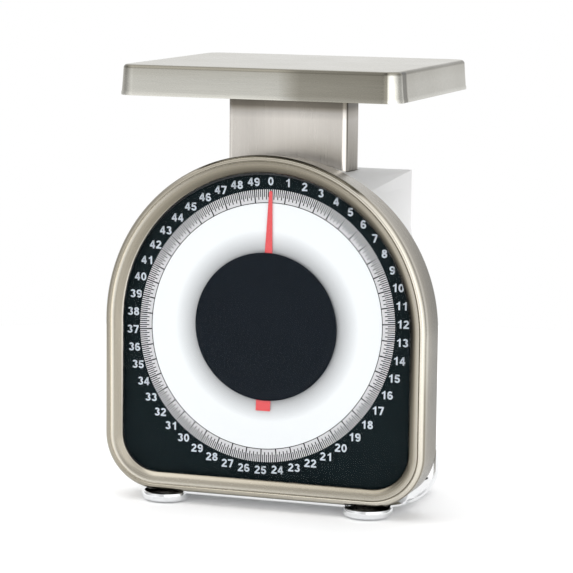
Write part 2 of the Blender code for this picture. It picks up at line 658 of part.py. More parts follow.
def make_springs():
    """Two springs between a yoke that the zero screw lifts and a bar across the column."""
    y = depth(SPRING_DEPTH)
    bar = (y - BAR_HALF, y + BAR_HALF)
    make_spring("spring_left", -SPRING_X)
    make_spring("spring_right", SPRING_X)
    inside = COLUMN_HALF - SHEET - GAP
    block("column_load_bar", (-inside, inside), bar, LOAD_BAR_Z, "zinc")
    yoke = block("spring_yoke", (-YOKE_HALF, YOKE_HALF), bar, YOKE_Z, "zinc")
    drill(yoke, ZERO_SCREW_R + RUNNING_FIT, "Z", (0, y), (YOKE_Z[0] - 2, YOKE_Z[1] + 2), 24)
    shaft = [(ZERO_SCREW_R, YOKE_Z[0] - 3.0), (ZERO_SCREW_R, KNOB_Z[0] - GAP)]
    turned("zero_screw", shaft, "Z", (0, y), "brass", 24)
    rings = []
    for share, z in ((0.9, KNOB_Z[0]), (1.0, KNOB_Z[0] + 0.8), (1.0, KNOB_Z[1] - 0.8), (0.9, KNOB_Z[1])):
        ring = []
        for i in range(KNOB_POINTS):
            radius = KNOB_R * share - (KNURL if i % 2 else 0.0)
            turn = math.tau * i / KNOB_POINTS
            ring.append((radius * math.cos(turn), y + radius * math.sin(turn), z))
        rings.append(ring)
    piece("zero_knob", *skin(rings, False, True), "black_plastic", (0, y, KNOB_Z[0]))
    stop = [(STOP_R, BASE_Z[1] + GAP), (STOP_R, STOP_TOP - 0.5), (STOP_R - 0.8, STOP_TOP)]
    turned("overload_stop", stop, "Z", (0, depth(COLUMN_SPAN[0] + SHEET / 2)), "rubber", 16)


def make_pan_bracket():
    """Spider plate on top of the column, screwed up into the pan."""
    low = COLUMN_Z[1] + GAP
    high = PAN_Z[1] - SHEET - GAP
    y = depth(COLUMN_SPAN[0] - SPIDER_REACH[0], COLUMN_SPAN[1] + SPIDER_REACH[1])
    spider = block("pan_spider", (-SPIDER_HALF, SPIDER_HALF), y, (low, high), "zinc")
    tongue_half = COLUMN_HALF - COLUMN_BEND - 1.0
    web_back = COLUMN_SPAN[0] + SHEET + GAP
    tongue = block("spider_tongue_form", (-tongue_half, tongue_half), depth(web_back, web_back + 1.5),
                   (low - TONGUE_DROP, low + 0.5), "zinc")
    join(spider, tongue)
    places = [(x, value) for x in (-PAN_SCREW_X, PAN_SCREW_X)
              for value in (y[0] + PAN_SCREW_EDGE, y[1] - PAN_SCREW_EDGE)]
    for number, (x, value) in enumerate(places, 1):
        drill(spider, SCREW_HOLE_R, "Z", (x, value), (low - 2, high + 2))
        head = (low - GAP - PAN_SCREW_HEAD, low - GAP)
        screw(f"pan_screw_{number}", "Z", (x, value), head, high + 0.1)


def main():
    for old in list(bpy.data.objects):
        bpy.data.objects.remove(old, do_unlink=True)
    make_shroud()
    make_housing()
    make_base()
    make_pan()
    make_column()
    make_dial()
    make_pointer()
    make_gears()
    make_rack_bracket()
    make_movement()
    make_frame()
    make_links()
    make_springs()
    make_pan_bracket()


main()
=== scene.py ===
import json
import math

import bmesh
import bpy
from mathutils import Matrix, Vector


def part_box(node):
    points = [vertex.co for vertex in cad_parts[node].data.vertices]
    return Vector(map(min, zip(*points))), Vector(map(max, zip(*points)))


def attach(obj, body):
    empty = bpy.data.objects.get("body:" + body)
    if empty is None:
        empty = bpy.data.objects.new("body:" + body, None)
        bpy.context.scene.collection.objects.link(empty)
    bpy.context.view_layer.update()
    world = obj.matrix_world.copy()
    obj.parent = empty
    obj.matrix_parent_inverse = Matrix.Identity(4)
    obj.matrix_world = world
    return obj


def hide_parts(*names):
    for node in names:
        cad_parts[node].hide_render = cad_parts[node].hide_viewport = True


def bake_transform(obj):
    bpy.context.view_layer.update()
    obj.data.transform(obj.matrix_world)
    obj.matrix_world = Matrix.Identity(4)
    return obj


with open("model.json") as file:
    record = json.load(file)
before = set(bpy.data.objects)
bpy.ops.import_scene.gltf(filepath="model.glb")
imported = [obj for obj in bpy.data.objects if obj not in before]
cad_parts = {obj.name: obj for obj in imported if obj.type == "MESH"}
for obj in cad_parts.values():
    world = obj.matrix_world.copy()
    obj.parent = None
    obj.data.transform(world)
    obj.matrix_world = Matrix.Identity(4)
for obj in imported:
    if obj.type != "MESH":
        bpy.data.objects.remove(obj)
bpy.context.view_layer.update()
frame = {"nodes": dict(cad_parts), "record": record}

MM = 0.001

# ---- places taken from the frame -------------------------
SHROUD_LOW, SHROUD_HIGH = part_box("front_shroud")
DIAL_LOW, DIAL_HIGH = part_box("dial_plate")
HUB_LOW, HUB_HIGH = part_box("hub_disc")
FRONT = SHROUD_LOW[1]  # ridge of the shroud
SHROUD_R = (SHROUD_HIGH[0] - SHROUD_LOW[0]) / 2
SHROUD_BOTTOM = SHROUD_LOW[2]
SHROUD_CORNER = 30 * MM
DIAL_Z = (HUB_LOW[2] + HUB_HIGH[2]) / 2  # centre of the dial
ARCH_RISE = SHROUD_HIGH[2] - SHROUD_R - DIAL_Z  # the arch is taller at its front edge
DIAL_FACE = DIAL_LOW[1]
SHEET = 1.2 * MM
HOLE_SIDES = 24

# ---- the camera ------------------------------------------
CAMERA_YAW = 18.75  # degrees to the right of the dial's axis
CAMERA_PITCH = 8.08
CAMERA_ROLL = 0.63
CAMERA_DISTANCE = 1.425
CAMERA_LENS = 165.3
CAMERA_SENSOR = 36
AIM_RIGHT = 0.01334  # aim point, from the dial's axis
AIM_UP = 0.02283


def make_camera():
    """The camera stands to the right of the dial's axis and looks a little down."""
    yaw, pitch, roll = (math.radians(a) for a in (CAMERA_YAW, CAMERA_PITCH, CAMERA_ROLL))
    back = Vector((math.sin(yaw) * math.cos(pitch), -math.cos(yaw) * math.cos(pitch), math.sin(pitch)))
    level_right = Vector((math.cos(yaw), math.sin(yaw), 0))
    level_up = back.cross(level_right)
    right = level_right * math.cos(roll) + level_up * math.sin(roll)
    up = level_up * math.cos(roll) - level_right * math.sin(roll)
    data = bpy.data.cameras.new("camera")
    data.lens = CAMERA_LENS
    data.sensor_width = CAMERA_SENSOR
    data.clip_start = 0.05
    data.clip_end = 50
    camera = new_object("camera", data)
    place = Vector((0, FRONT, DIAL_Z)) + right * AIM_RIGHT + up * AIM_UP + back * CAMERA_DISTANCE
    rotation = Matrix((right, up, back)).transposed().to_4x4()
    camera.matrix_world = Matrix.Translation(place) @ rotation
    bpy.context.scene.camera = camera


# ---- small helpers ---------------------------------------
MATERIALS = {}


def circle(radius, sides, centre=(0, 0)):
    """Places round a circle."""
    turns = [math.tau * i / sides for i in range(sides)]
    return [(centre[0] + radius * math.cos(t), centre[1] + radius * math.sin(t)) for t in turns]


def banded(value, bands):
    """A value read off a list of (place, level) points, with straight lines between them."""
    if value <= bands[0][0]:
        return bands[0][1]
    for (start, low), (end, high) in zip(bands, bands[1:]):
        if value <= end:
            return low + (high - low) * (value - start) / (end - start)
    return bands[-1][1]


def new_mesh(name, points, faces):
    mesh = bpy.data.meshes.new(name)
    mesh.from_pydata([tuple(p) for p in points], [], faces)
    return mesh


def new_object(name, data):
    """An object in the scene that shows a mesh, a lamp or a camera."""
    made = bpy.data.objects.new(name, data)
    bpy.context.scene.collection.objects.link(made)
    return made


def shader_material(name, colour, roughness, metallic=0.0):
    """A new material, its main shader and its node tree."""
    material = bpy.data.materials.new(name)
    material.use_nodes = True
    shader = material.node_tree.nodes["Principled BSDF"]
    shader.inputs["Base Color"].default_value = (*colour, 1)
    shader.inputs["Roughness"].default_value = roughness
    shader.inputs["Metallic"].default_value = metallic
    MATERIALS[name] = material
    return material, shader, material.node_tree


def math_node(tree, operation, *values):
    """The result of a math node; each value is a number or another node's socket."""
    node = tree.nodes.new("ShaderNodeMath")
    node.operation = operation
    for value, socket in zip(values, node.inputs):
        if isinstance(value, (int, float)):
            socket.default_value = value
        else:
            tree.links.new(value, socket)
    return node.outputs[0]


def ranged(tree, value, low, high, from_low=0.3, from_high=0.7):
    """A value moved from one range to another and held inside it."""
    node = tree.nodes.new("ShaderNodeMapRange")
    node.inputs["From Min"].default_value = from_low
    node.inputs["From Max"].default_value = from_high
    node.inputs["To Min"].default_value = low
    node.inputs["To Max"].default_value = high
    tree.links.new(value, node.inputs["Value"])
    return node.outputs[0]


def coordinates(tree, kind="Object"):
    node = tree.nodes.new("ShaderNodeTexCoord")
    return node.outputs[kind]


# ---- studio ----------------------------------------------
FLOOR_RADIUS = 0.62
FLOOR_STEPS = 96
# brightness round the horizon, by degrees from the dial's axis towards the right
STUDIO_TURN = [(-180, 1.10), (-120, 0.90), (-88, 0.45), (-62, 0.75), (-36, 1.15), (-20, 1.00),
               (-8, 0.75), (6, 0.85), (14, 1.50), (62, 1.60), (80, 1.15), (112, 0.50),
               (140, 0.55), (156, 0.90), (180, 1.10)]
OVERHEAD = 1.20
OVERHEAD_FROM, OVERHEAD_FULL = 0.45, 0.75  # heights where it takes over from the horizon
KEY_SIZE = (1.6, 1.2)
KEY_ENERGY = 6
KEY_PLACE = (-0.7, -0.5, 1.5)
KEY_AIM = (0, 0, 0.1)


def horizon_light(tree, turn):
    """Brightness by direction, read off STUDIO_TURN; turn runs from 0 to 1."""
    curve = tree.nodes.new("ShaderNodeFloatCurve")
    points = curve.mapping.curves[0].points
    top = max(level for _, level in STUDIO_TURN)
    for index, (degrees, level) in enumerate(STUDIO_TURN):
        place = ((degrees + 180) / 360, level / top)
        if index < 2:
            points[index].location = place
        else:
            points.new(*place)
    for point in points:
        point.handle_type = "VECTOR"
    curve.mapping.update()
    tree.links.new(turn, curve.inputs["Value"])
    return math_node(tree, "MULTIPLY", curve.outputs[0], top)


def make_world():
    """White behind the object, and light that changes by direction for everything else."""
    scene = bpy.context.scene
    scene.view_settings.view_transform = "Standard"
    world = bpy.data.worlds.new("studio")
    scene.world = world
    world.use_nodes = True
    tree = world.node_tree
    tree.nodes.clear()
    add = tree.nodes.new
    link = tree.links.new
    split = add("ShaderNodeSeparateXYZ")
    link(coordinates(tree, "Generated"), split.inputs[0])
    away = math_node(tree, "MULTIPLY", split.outputs["Y"], -1)
    angle = math_node(tree, "ARCTAN2", split.outputs["X"], away)
    bright = horizon_light(tree, ranged(tree, angle, 0, 1, -math.pi, math.pi))
    height = ranged(tree, split.outputs["Z"], 0, 1, OVERHEAD_FROM, OVERHEAD_FULL)
    height.node.interpolation_type = "SMOOTHSTEP"
    blend = add("ShaderNodeMix")
    blend.data_type = "FLOAT"
    link(height, blend.inputs["Factor"])
    link(bright, blend.inputs[2])
    blend.inputs[3].default_value = OVERHEAD
    surroundings = add("ShaderNodeBackground")
    surroundings.inputs["Color"].default_value = (1, 1, 1, 1)
    link(blend.outputs[0], surroundings.inputs["Strength"])
    plain = add("ShaderNodeBackground")
    plain.inputs["Color"].default_value = (1, 1, 1, 1)
    ray = add("ShaderNodeLightPath")
    mix = add("ShaderNodeMixShader")
    link(ray.outputs["Is Camera Ray"], mix.inputs[0])
    link(surroundings.outputs[0], mix.inputs[1])
    link(plain.outputs[0], mix.inputs[2])
    output = add("ShaderNodeOutputWorld")
    link(mix.outputs[0], output.inputs[0])


def make_floor():
    """A round sheet of pale paper under the scale."""
    rim = [(x, y, 0) for x, y in circle(FLOOR_RADIUS, FLOOR_STEPS)]
    mesh = new_mesh("floor", rim, [tuple(range(FLOOR_STEPS))])
    floor = new_object("floor", mesh)
    material, shader, _ = shader_material("floor_paper", (0.97, 0.97, 0.97), 0.7)
    shader.inputs["Specular IOR Level"].default_value = 0.2
    shader.inputs["Emission Color"].default_value = (1, 1, 1, 1)
    shader.inputs["Emission Strength"].default_value = 0.08
    mesh.materials.append(material)


def make_key_light():
    """A soft lamp above and to the left."""
    lamp = bpy.data.lights.new("key_light", "AREA")
    lamp.shape = "RECTANGLE"
    lamp.size, lamp.size_y = KEY_SIZE
    lamp.energy = KEY_ENERGY
    key = new_object("key_light", lamp)
    key.location = KEY_PLACE
    key.rotation_euler = (Vector(KEY_AIM) - key.location).to_track_quat("-Z", "Y").to_euler()


# ---- materials -------------------------------------------
SHROUD_STEEL = (0.60, 0.565, 0.49)
PAN_STEEL = (0.59, 0.58, 0.53)
COLUMN_STEEL = (0.60, 0.57, 0.53)
# tint given to the painted shade of brushed metal where its tone is low
PAINTED_SHADE_WARMTH = (1.0, 0.955, 0.86)
# the painted shadow of the hub disc on the white print runs between these distances from the dial's centre
DIAL_HUB_SHADOW_FROM, DIAL_HUB_SHADOW_TO = 39.5 * MM, 53 * MM  # distances from the dial's centre


def noise(tree, place, stretch, scale, detail=3.0, rough=0.55):
    """A noise pattern; stretch is how fine it is along each axis."""
    mapping = tree.nodes.new("ShaderNodeMapping")
    mapping.inputs["Scale"].default_value = stretch
    tree.links.new(place, mapping.inputs["Vector"])
    pattern = tree.nodes.new("ShaderNodeTexNoise")
    pattern.inputs["Scale"].default_value = scale
    pattern.inputs["Detail"].default_value = detail
    pattern.inputs["Roughness"].default_value = rough
    tree.links.new(mapping.outputs[0], pattern.inputs["Vector"])
    return pattern.outputs["Fac"]


def bump(tree, shader, height, strength, distance):
    node = tree.nodes.new("ShaderNodeBump")
    node.inputs["Strength"].default_value = strength
    node.inputs["Distance"].default_value = distance
    tree.links.new(height, node.inputs["Height"])
    tree.links.new(node.outputs[0], shader.inputs["Normal"])


def shaded(colour, factor):
    return [min(1, factor * c) for c in colour]


def tint(tree, shader, value, dark, light):
    """Base colour between two tones, driven by a value from 0 to 1."""
    mix = tree.nodes.new("ShaderNodeMix")
    mix.data_type = "RGBA"
    mix.inputs[6].default_value = (*dark, 1)
    mix.inputs[7].default_value = (*light, 1)
    tree.links.new(value, mix.inputs[0])
    tree.links.new(mix.outputs[2], shader.inputs["Base Color"])


def brushed_metal(name, colour, roughness, grain, kind="Object", strength=0.10, spread=0.06, painted_reflections=False):
    """Sheet metal with a brushed grain: grain is the stretch of the pattern along each axis.
    One with painted reflections takes painted light and dark bands from the mesh's tone value."""
    _, shader, tree = shader_material(name, colour, roughness, 1.0)
    place = coordinates(tree, kind)
    fine = noise(tree, place, grain, 1.0, 4.0, 0.6)
    streak = noise(tree, place, [value * 0.22 for value in grain], 1.0, 3.0, 0.5)
    smudge = noise(tree, coordinates(tree), (1, 1, 1), 26, 3.0, 0.5)
    uneven = math_node(tree, "ADD", ranged(tree, fine, -spread, spread), ranged(tree, smudge, -0.03, 0.04))
    tree.links.new(math_node(tree, "ADD", uneven, roughness), shader.inputs["Roughness"])
    grained = math_node(tree, "ADD", ranged(tree, fine, 0.0, 0.6), ranged(tree, streak, 0.0, 0.4))
    tint(tree, shader, grained, shaded(colour, 0.93), shaded(colour, 1.05))
    if painted_reflections:
        apply_tone(tree, shader)
    bump(tree, shader, grained, strength, 0.00004)


def apply_tone(tree, shader):
    """Painted reflections and shade: multiply the base colour by the mesh's tone, and warm it where the tone
    is low.
    """
    colour = shader.inputs["Base Color"].links[0].from_socket
    attribute = tree.nodes.new("ShaderNodeAttribute")
    attribute.attribute_name = "tone"
    tone = attribute.outputs["Fac"]
    warm = tree.nodes.new("ShaderNodeMix")
    warm.data_type = "RGBA"
    warm.blend_type = "MULTIPLY"
    warm.inputs[7].default_value = (*PAINTED_SHADE_WARMTH, 1)
    tree.links.new(ranged(tree, tone, 0, 1, 0.9, 0.35), warm.inputs[0])
    tree.links.new(colour, warm.inputs[6])
    scaled = tree.nodes.new("ShaderNodeVectorMath")
    scaled.operation = "SCALE"
    tree.links.new(warm.outputs[2], scaled.inputs[0])
    tree.links.new(tone, scaled.inputs["Scale"])
    tree.links.new(scaled.outputs[0], shader.inputs["Base Color"])


def painted(name, colour, roughness, peel=0.12, coat=0.0, shine=0.5):
    """Baked enamel or ink with a slight orange peel and faint uneven tone."""
    _, shader, tree = shader_material(name, colour, roughness)
    place = coordinates(tree)
    tone = noise(tree, place, (1, 1, 1), 30, 3.0)
    peeled = noise(tree, place, (1, 1, 1), 900, 2.0)
    tint(tree, shader, ranged(tree, tone, 0, 1), shaded(colour, 0.97), shaded(colour, 1.02))
    tree.links.new(ranged(tree, tone, roughness - 0.05, roughness + 0.05), shader.inputs["Roughness"])
    bump(tree, shader, peeled, peel, 0.00005)
    shader.inputs["Coat Weight"].default_value = coat
    shader.inputs["Specular IOR Level"].default_value = shine
    shader.inputs["Coat Roughness"].default_value = 0.1


def moulded(name, colour, roughness, grain=1500, strength=0.25):
    """Moulded plastic or rubber with a fine matt texture."""
    _, shader, tree = shader_material(name, colour, roughness)
    place = coordinates(tree)
    fine = noise(tree, place, (1, 1, 1), grain, 2.0)
    wide = noise(tree, place, (1, 1, 1), 60, 3.0)
    tint(tree, shader, ranged(tree, wide, 0, 1), shaded(colour, 0.8), shaded(colour, 1.25))
    tree.links.new(ranged(tree, wide, roughness - 0.06, roughness + 0.06), shader.inputs["Roughness"])
    bump(tree, shader, fine, strength, 0.00005)


def dial_white(name):
    """White print with a painted shadow of the hub disc: it shades to grey close round the disc."""
    _, shader, tree = shader_material(name, (0.9, 0.92, 0.93), 0.45)
    place = coordinates(tree)
    offset = tree.nodes.new("ShaderNodeVectorMath")
    offset.operation = "SUBTRACT"
    offset.inputs[1].default_value = (0, DIAL_FACE, DIAL_Z)
    tree.links.new(place, offset.inputs[0])
    reach = tree.nodes.new("ShaderNodeVectorMath")
    reach.operation = "LENGTH"
    tree.links.new(offset.outputs[0], reach.inputs[0])
    # painted shadow of the hub disc: grey close round it, going to white further out
    painted_hub_shadow = ranged(tree, reach.outputs["Value"], 0, 1, DIAL_HUB_SHADOW_FROM, DIAL_HUB_SHADOW_TO)
    grain = noise(tree, place, (1, 1, 1), 700, 2.0)
    white = math_node(tree, "MULTIPLY_ADD", grain, 0.04, painted_hub_shadow)
    tint(tree, shader, white, (0.34, 0.35, 0.36), (0.9, 0.93, 0.95))
    bump(tree, shader, grain, 0.05, 0.00003)


def clear_lens(name):
    material, shader, tree = shader_material(name, (0.03, 0.04, 0.04), 0.04)
    shader.inputs["Alpha"].default_value = 0.03
    shader.inputs["IOR"].default_value = 1.49
    wear = noise(tree, coordinates(tree), (1, 1, 1), 90, 4.0)
    tree.links.new(ranged(tree, wear, 0.03, 0.08), shader.inputs["Roughness"])
    bump(tree, shader, wear, 0.03, 0.00005)
    material.surface_render_method = "BLENDED"


def make_materials():
    """The looks of the detailed pieces and of the CAD nodes that still show."""
    brushed_metal("shroud_steel", SHROUD_STEEL, 0.24, (60, 2600, 1), "UV", painted_reflections=True)
    brushed_metal("pan_steel", PAN_STEEL, 0.27, (40, 1700, 1700), painted_reflections=True)
    brushed_metal("column_steel", COLUMN_STEEL, 0.30, (1700, 1700, 40), painted_reflections=True)
    brushed_metal("chrome_plate", (0.82, 0.83, 0.84), 0.10, (300, 300, 300), strength=0.03, spread=0.03)
    painted("white_paint", (0.71, 0.71, 0.71), 0.38, coat=0.2)
    painted("dial_black", (0.003, 0.008, 0.010), 0.5, 0.03, shine=0.05)
    dial_white("dial_white")
    painted("dial_tick", (0.010, 0.012, 0.014), 0.5, 0.03, shine=0.1)
    painted("dial_grey", (0.68, 0.68, 0.70), 0.5, 0.03)
    painted("dial_number", (0.62, 0.68, 0.75), 0.5, 0.03)
    clear_lens("clear_lens")
    painted("black_disc", (0.006, 0.009, 0.014), 0.5, 0.02, shine=0.05)
    painted("pointer_red", (0.78, 0.09, 0.10), 0.42, 0.05)
    brushed_metal("zinc_steel", (0.56, 0.57, 0.58), 0.38, (900, 900, 900), strength=0.12)
    brushed_metal("spring_steel", (0.36, 0.37, 0.39), 0.34, (700, 700, 700))
    brushed_metal("brass_turned", (0.72, 0.54, 0.25), 0.28, (900, 900, 900))
    moulded("black_plastic", (0.022, 0.022, 0.024), 0.48)
    moulded("rubber", (0.03, 0.03, 0.031), 0.78, 900, 0.4)


# ---- mesh functions --------------------------------------
def face_outwards(mesh, merge=None):
    """Turn every face outwards; a merge distance first joins near points and cuts faces into triangles."""
    form = bmesh.new()
    form.from_mesh(mesh)
    if merge:
        bmesh.ops.remove_doubles(form, verts=form.verts, dist=merge)
        bmesh.ops.triangulate(form, faces=form.faces)
    bmesh.ops.recalc_face_normals(form, faces=form.faces)
    form.to_mesh(mesh)
    form.free()


def smooth(mesh, angle):
    """Smooth shading, except across edges sharper than this many degrees."""
    mesh.shade_smooth()
    mesh.set_sharp_from_angle(angle=math.radians(angle))


def add_piece(name, points, faces, material, body, replaced=(), angle=32, uv=None, tone=None):
    """A closed mesh on a CAD body; uv gives each point a place on the grain, tone its painted light or
    shade.
    """
    mesh = new_mesh(name, points, faces)
    if uv:
        layer = mesh.uv_layers.new(name="grain")
        for loop in mesh.loops:
            layer.data[loop.index].uv = uv[loop.vertex_index]
    if tone:
        mesh.attributes.new("tone", "FLOAT", "POINT").data.foreach_set("value", tone)
    face_outwards(mesh)
    smooth(mesh, angle)
    mesh.materials.append(MATERIALS[material])
    piece = new_object(name, mesh)
    if body:
        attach(piece, body)
    if replaced:
        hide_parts(*replaced)
    return piece


def plain_mesh(name, points, faces):
    """A mesh without a material, to cut or join with."""
    mesh = new_mesh(name, points, faces)
    face_outwards(mesh)
    return new_object(name, mesh)


def box_mesh(name, low, high):
    rings = [[(low[0], low[1], z), (high[0], low[1], z), (high[0], high[1], z), (low[0], high[1], z)]
             for z in (low[2], high[2])]
    return plain_mesh(name, *skin(rings))


def apply_cuts(piece, cutters, operation="DIFFERENCE", angle=40):
    """Cut or join other meshes into a piece and keep only the result."""
    for cutter in cutters:
        change = piece.modifiers.new("cut", "BOOLEAN")
        change.operation = operation
        change.object = cutter
        change.solver = "EXACT"
    evaluated = piece.evaluated_get(bpy.context.evaluated_depsgraph_get())
    mesh = bpy.data.meshes.new_from_object(evaluated)
    piece.modifiers.clear()
    piece.data = mesh
    smooth(mesh, angle)
    for cutter in cutters:
        bpy.data.objects.remove(cutter, do_unlink=True)


def skin(rings, ring_loop=False):
    """Points and faces of rings of one length, joined into a closed loop or a tube with capped ends."""
    count = len(rings[0])
    points = [point for ring in rings for point in ring]
    faces = []
    for k in range(len(rings) if ring_loop else len(rings) - 1):
        low = k * count
        high = (k + 1) % len(rings) * count
        for i in range(count):
            j = (i + 1) % count
            faces.append((low + i, low + j, high + j, high + i))
    if not ring_loop:
        faces.append(tuple(range(count)))
        faces.append(tuple(range(len(points) - count, len(points))))
    return points, faces


def arc(centre, radius, start, end, steps):
    """Points on an arc, angles in degrees, ends included."""
    turn = [math.radians(start + (end - start) * k / steps) for k in range(steps + 1)]
    return [(centre[0] + radius * math.cos(t), centre[1] + radius * math.sin(t)) for t in turn]


SIDE_STEPS = 4  # steps up each straight side of the shroud


def tombstone(inset, arch_steps=120, corner_steps=24, rise=0.0):
    """The shroud's outline in X and Z, drawn smaller by inset: an arch on a rounded foot."""
    corner = SHROUD_CORNER - inset
    low = SHROUD_BOTTOM + SHROUD_CORNER
    side = SHROUD_R - SHROUD_CORNER
    radius = SHROUD_R - inset
    levels = [low + (DIAL_Z - low) * k / SIDE_STEPS for k in range(1, SIDE_STEPS)]
    outline = arc((side, low), corner, -90, 0, corner_steps) + [(radius, z) for z in levels]
    arch = arc((0, DIAL_Z), radius, 0, 180, arch_steps)
    outline += [(x, z + rise * (z - DIAL_Z) / radius) for x, z in arch]
    outline += [(-radius, z) for z in reversed(levels)] + arc((-side, low), corner, 180, 270, corner_steps)
    return outline


def rounded(half_x, y, corner, steps=14):
    """A rectangle with round corners in X and Y."""
    outline = arc((half_x - corner, y[0] + corner), corner, -90, 0, steps)
    outline += arc((half_x - corner, y[1] - corner), corner, 0, 90, steps)
    outline += arc((corner - half_x, y[1] - corner), corner, 90, 180, steps)
    outline += arc((corner - half_x, y[0] + corner), corner, 180, 270, steps)
    return outline


def disc_rings(profile, centre, axis, sides):
    """Rings round an axis; profile holds (radius, place along the axis)."""
    order = {"X": (2, 0, 1), "Y": (0, 2, 1), "Z": (0, 1, 2)}[axis]
    rings = []
    for radius, along in profile:
        places = [(a, b, along) for a, b in circle(radius, sides, centre)]
        rings.append([tuple(place[i] for i in order) for place in places])
    return rings


# ---- shells ----------------------------------------------
# painted reflections and shade: how light each part of the ring is painted on its right, left, top and foot;
# the first number of a pair runs through that part of the section, from the outside to the window
SHROUD_PAINTED_LIGHT = {
    "wall": ([(0, 0.92), (0.3, 0.42), (0.6, 0.26), (1, 0.19)],
             [(0, 0.55), (0.1, 1.0), (0.4, 0.9), (0.7, 0.6)],
             [(0, 0.32), (0.3, 0.5)],
             [(0, 0.26), (0.3, 0.5)]),
    "bead": ([(0, 1.45)], [(0, 0.50), (1, 0.60)], [(0, 0.70), (1, 0.62)], [(0, 0.60)]),
    "groove": ([(0, 0.28)], [(0, 1.6)], [(0, 0.60)], [(0, 0.66)]),
    "slope": ([(0, 1.0), (0.25, 0.63), (0.4, 0.18), (0.57, 0.02), (1, 0.02)],
              [(0, 1.6), (0.12, 1.4), (0.25, 0.62), (0.5, 0.56), (0.8, 0.60), (0.88, 1.3), (1, 1.3)],
              [(0, 0.55), (0.5, 0.26), (1, 0.15)],
              [(0, 0.72), (0.5, 0.70), (0.8, 0.64), (0.88, 0.14), (1, 0.14)]),
    "back": ([(0, 0.55)], [(0, 0.95)], [(0, 0.30)], [(0, 0.22)]),
}
# how much of that painted light the right wall keeps, by height from the dial's centre in shares of the
# radius: lower down it is painted darker
RIGHT_WALL_PAINTED_SHADE = [(-0.8, 0.65), (-0.42, 0.52), (-0.1, 0.93), (0, 1.0)]
# the ring's section in mm, as (inset from the outside, depth behind the ridge)
WALL_START = 4.2  # depth where the straight wall begins
SHOULDER_START, SHOULDER_IN, SHOULDER_RISE = 2.6, 1.75, 2.0
SHROUD_BEAD = [(0.85, 0.85), (1.1, 0.5), (1.4, 0.2), (1.8, 0.04), (2.3, 0.0), (2.75, 0.12), (3.05, 0.4)]
SHROUD_GROOVE = [(3.25, 0.95), (3.45, 0.98)]
SHROUD_SLOPE = [(3.75, 0.58), (4.4, 0.55), (5.4, 0.72), (6.4, 1.02), (7.3, 1.42), (8.1, 1.9), (8.8, 2.45),
                (9.3, 2.95), (9.62, 3.4)]
SHROUD_BACK = [(9.6, 3.75), (9.3, 3.85), (8.6, 3.3), (6.0, 2.1), (3.5, 1.85), (2.2, 2.1), (1.2, 4.4)]


def shroud_tone(part, share, x, z):
    """Painted reflection and shade: how light the brushed ring is painted at a place of its section and of
    its outline.
    """
    side = x / SHROUD_R
    up = (z - DIAL_Z) / SHROUD_R
    weights = [max(side, 0.0) ** 2, max(-side, 0.0) ** 2, max(up, 0.0) ** 2, max(-up, 0.0) ** 2]
    levels = [banded(share, bands) for bands in SHROUD_PAINTED_LIGHT[part]]
    if part == "wall":
        levels[0] *= banded(up, RIGHT_WALL_PAINTED_SHADE)
    return sum(weight * level for weight, level in zip(weights, levels)) / sum(weights)


def make_shroud():
    """Side wall, rounded bead with a fine groove inside it, then a curved slope in to the window."""
    depth = (SHROUD_HIGH[1] - SHROUD_LOW[1]) / MM
    edge = depth - 0.2
    section = [("wall", 1.0, 0.0, edge)]
    section += [("wall", share, 0.0, depth * share) for share in (0.6, 0.3)]
    section += [("wall", 0.0, 0.0, WALL_START)]
    for degrees in (0, 20, 40):
        turn = math.radians(degrees)
        section.append(("wall", 0.0, SHOULDER_IN - SHOULDER_IN * math.cos(turn),
                        SHOULDER_START - SHOULDER_RISE * math.sin(turn)))
    section += [("bead", k / (len(SHROUD_BEAD) - 1), x, y) for k, (x, y) in enumerate(SHROUD_BEAD)]
    section += [("groove", 0.0, x, y) for x, y in SHROUD_GROOVE]
    section += [("slope", k / (len(SHROUD_SLOPE) - 1), x, y) for k, (x, y) in enumerate(SHROUD_SLOPE)]
    section += [("back", 0.0, x, y) for x, y in SHROUD_BACK + [(1.2, edge), (0.95, depth), (0.25, depth)]]
    rings = []
    uv = []
    # painted reflections and shade, one value for each point
    tone = []
    run = 0.0
    last = None
    for part, share, inset, y in section:
        if last is not None:
            run += math.hypot(inset - last[0], y - last[1]) * MM
        last = (inset, y)
        outline = tombstone(inset * MM, rise=ARCH_RISE * (1 - y / depth))
        rings.append([(x, FRONT + y * MM, z) for x, z in outline])
        length = 0.0
        before = outline[0]
        for point in outline:
            length += math.dist(point, before)
            before = point
            uv.append((length, run))
            tone.append(shroud_tone(part, share, *point))
    closed = skin(rings, ring_loop=True)
    add_piece("shroud_ring", *closed, "shroud_steel", "root", ["front_shroud"], 40, uv, tone)


PAN_FLARE = 1.3 * MM  # how far the top edge stands in from the lip
PAN_EDGE = 2.2 * MM  # radius of the rolled top edge
PAN_CORNER = 10 * MM
PAN_LIP = 2.4 * MM  # height of the hemmed lip
PAN_TOP_INSET = 8 * MM  # start of the flat top's middle
PAN_FRONT_POINTS = (-0.8, -0.6, -0.4, -0.2, 0.0, 0.1, 0.18, 0.22, 0.26, 0.3, 0.36, 0.5, 0.7, 0.9)
# painted reflections and shade of the pan: even levels for the flat top, the inside of the rim and the left
# side
PAN_TOP_PAINTED_LIGHT = 0.80
PAN_INSIDE_PAINTED_SHADE = 0.75
PAN_LEFT_PAINTED_LIGHT = 0.88
# painted reflection round the rolled edge, a dark line along it
PAN_EDGE_PAINTED_LIGHT = (1.0, 0.7, 0.42, 0.34, 0.36, 0.5, 0.85)  # round the rolled edge, from the rim to the top
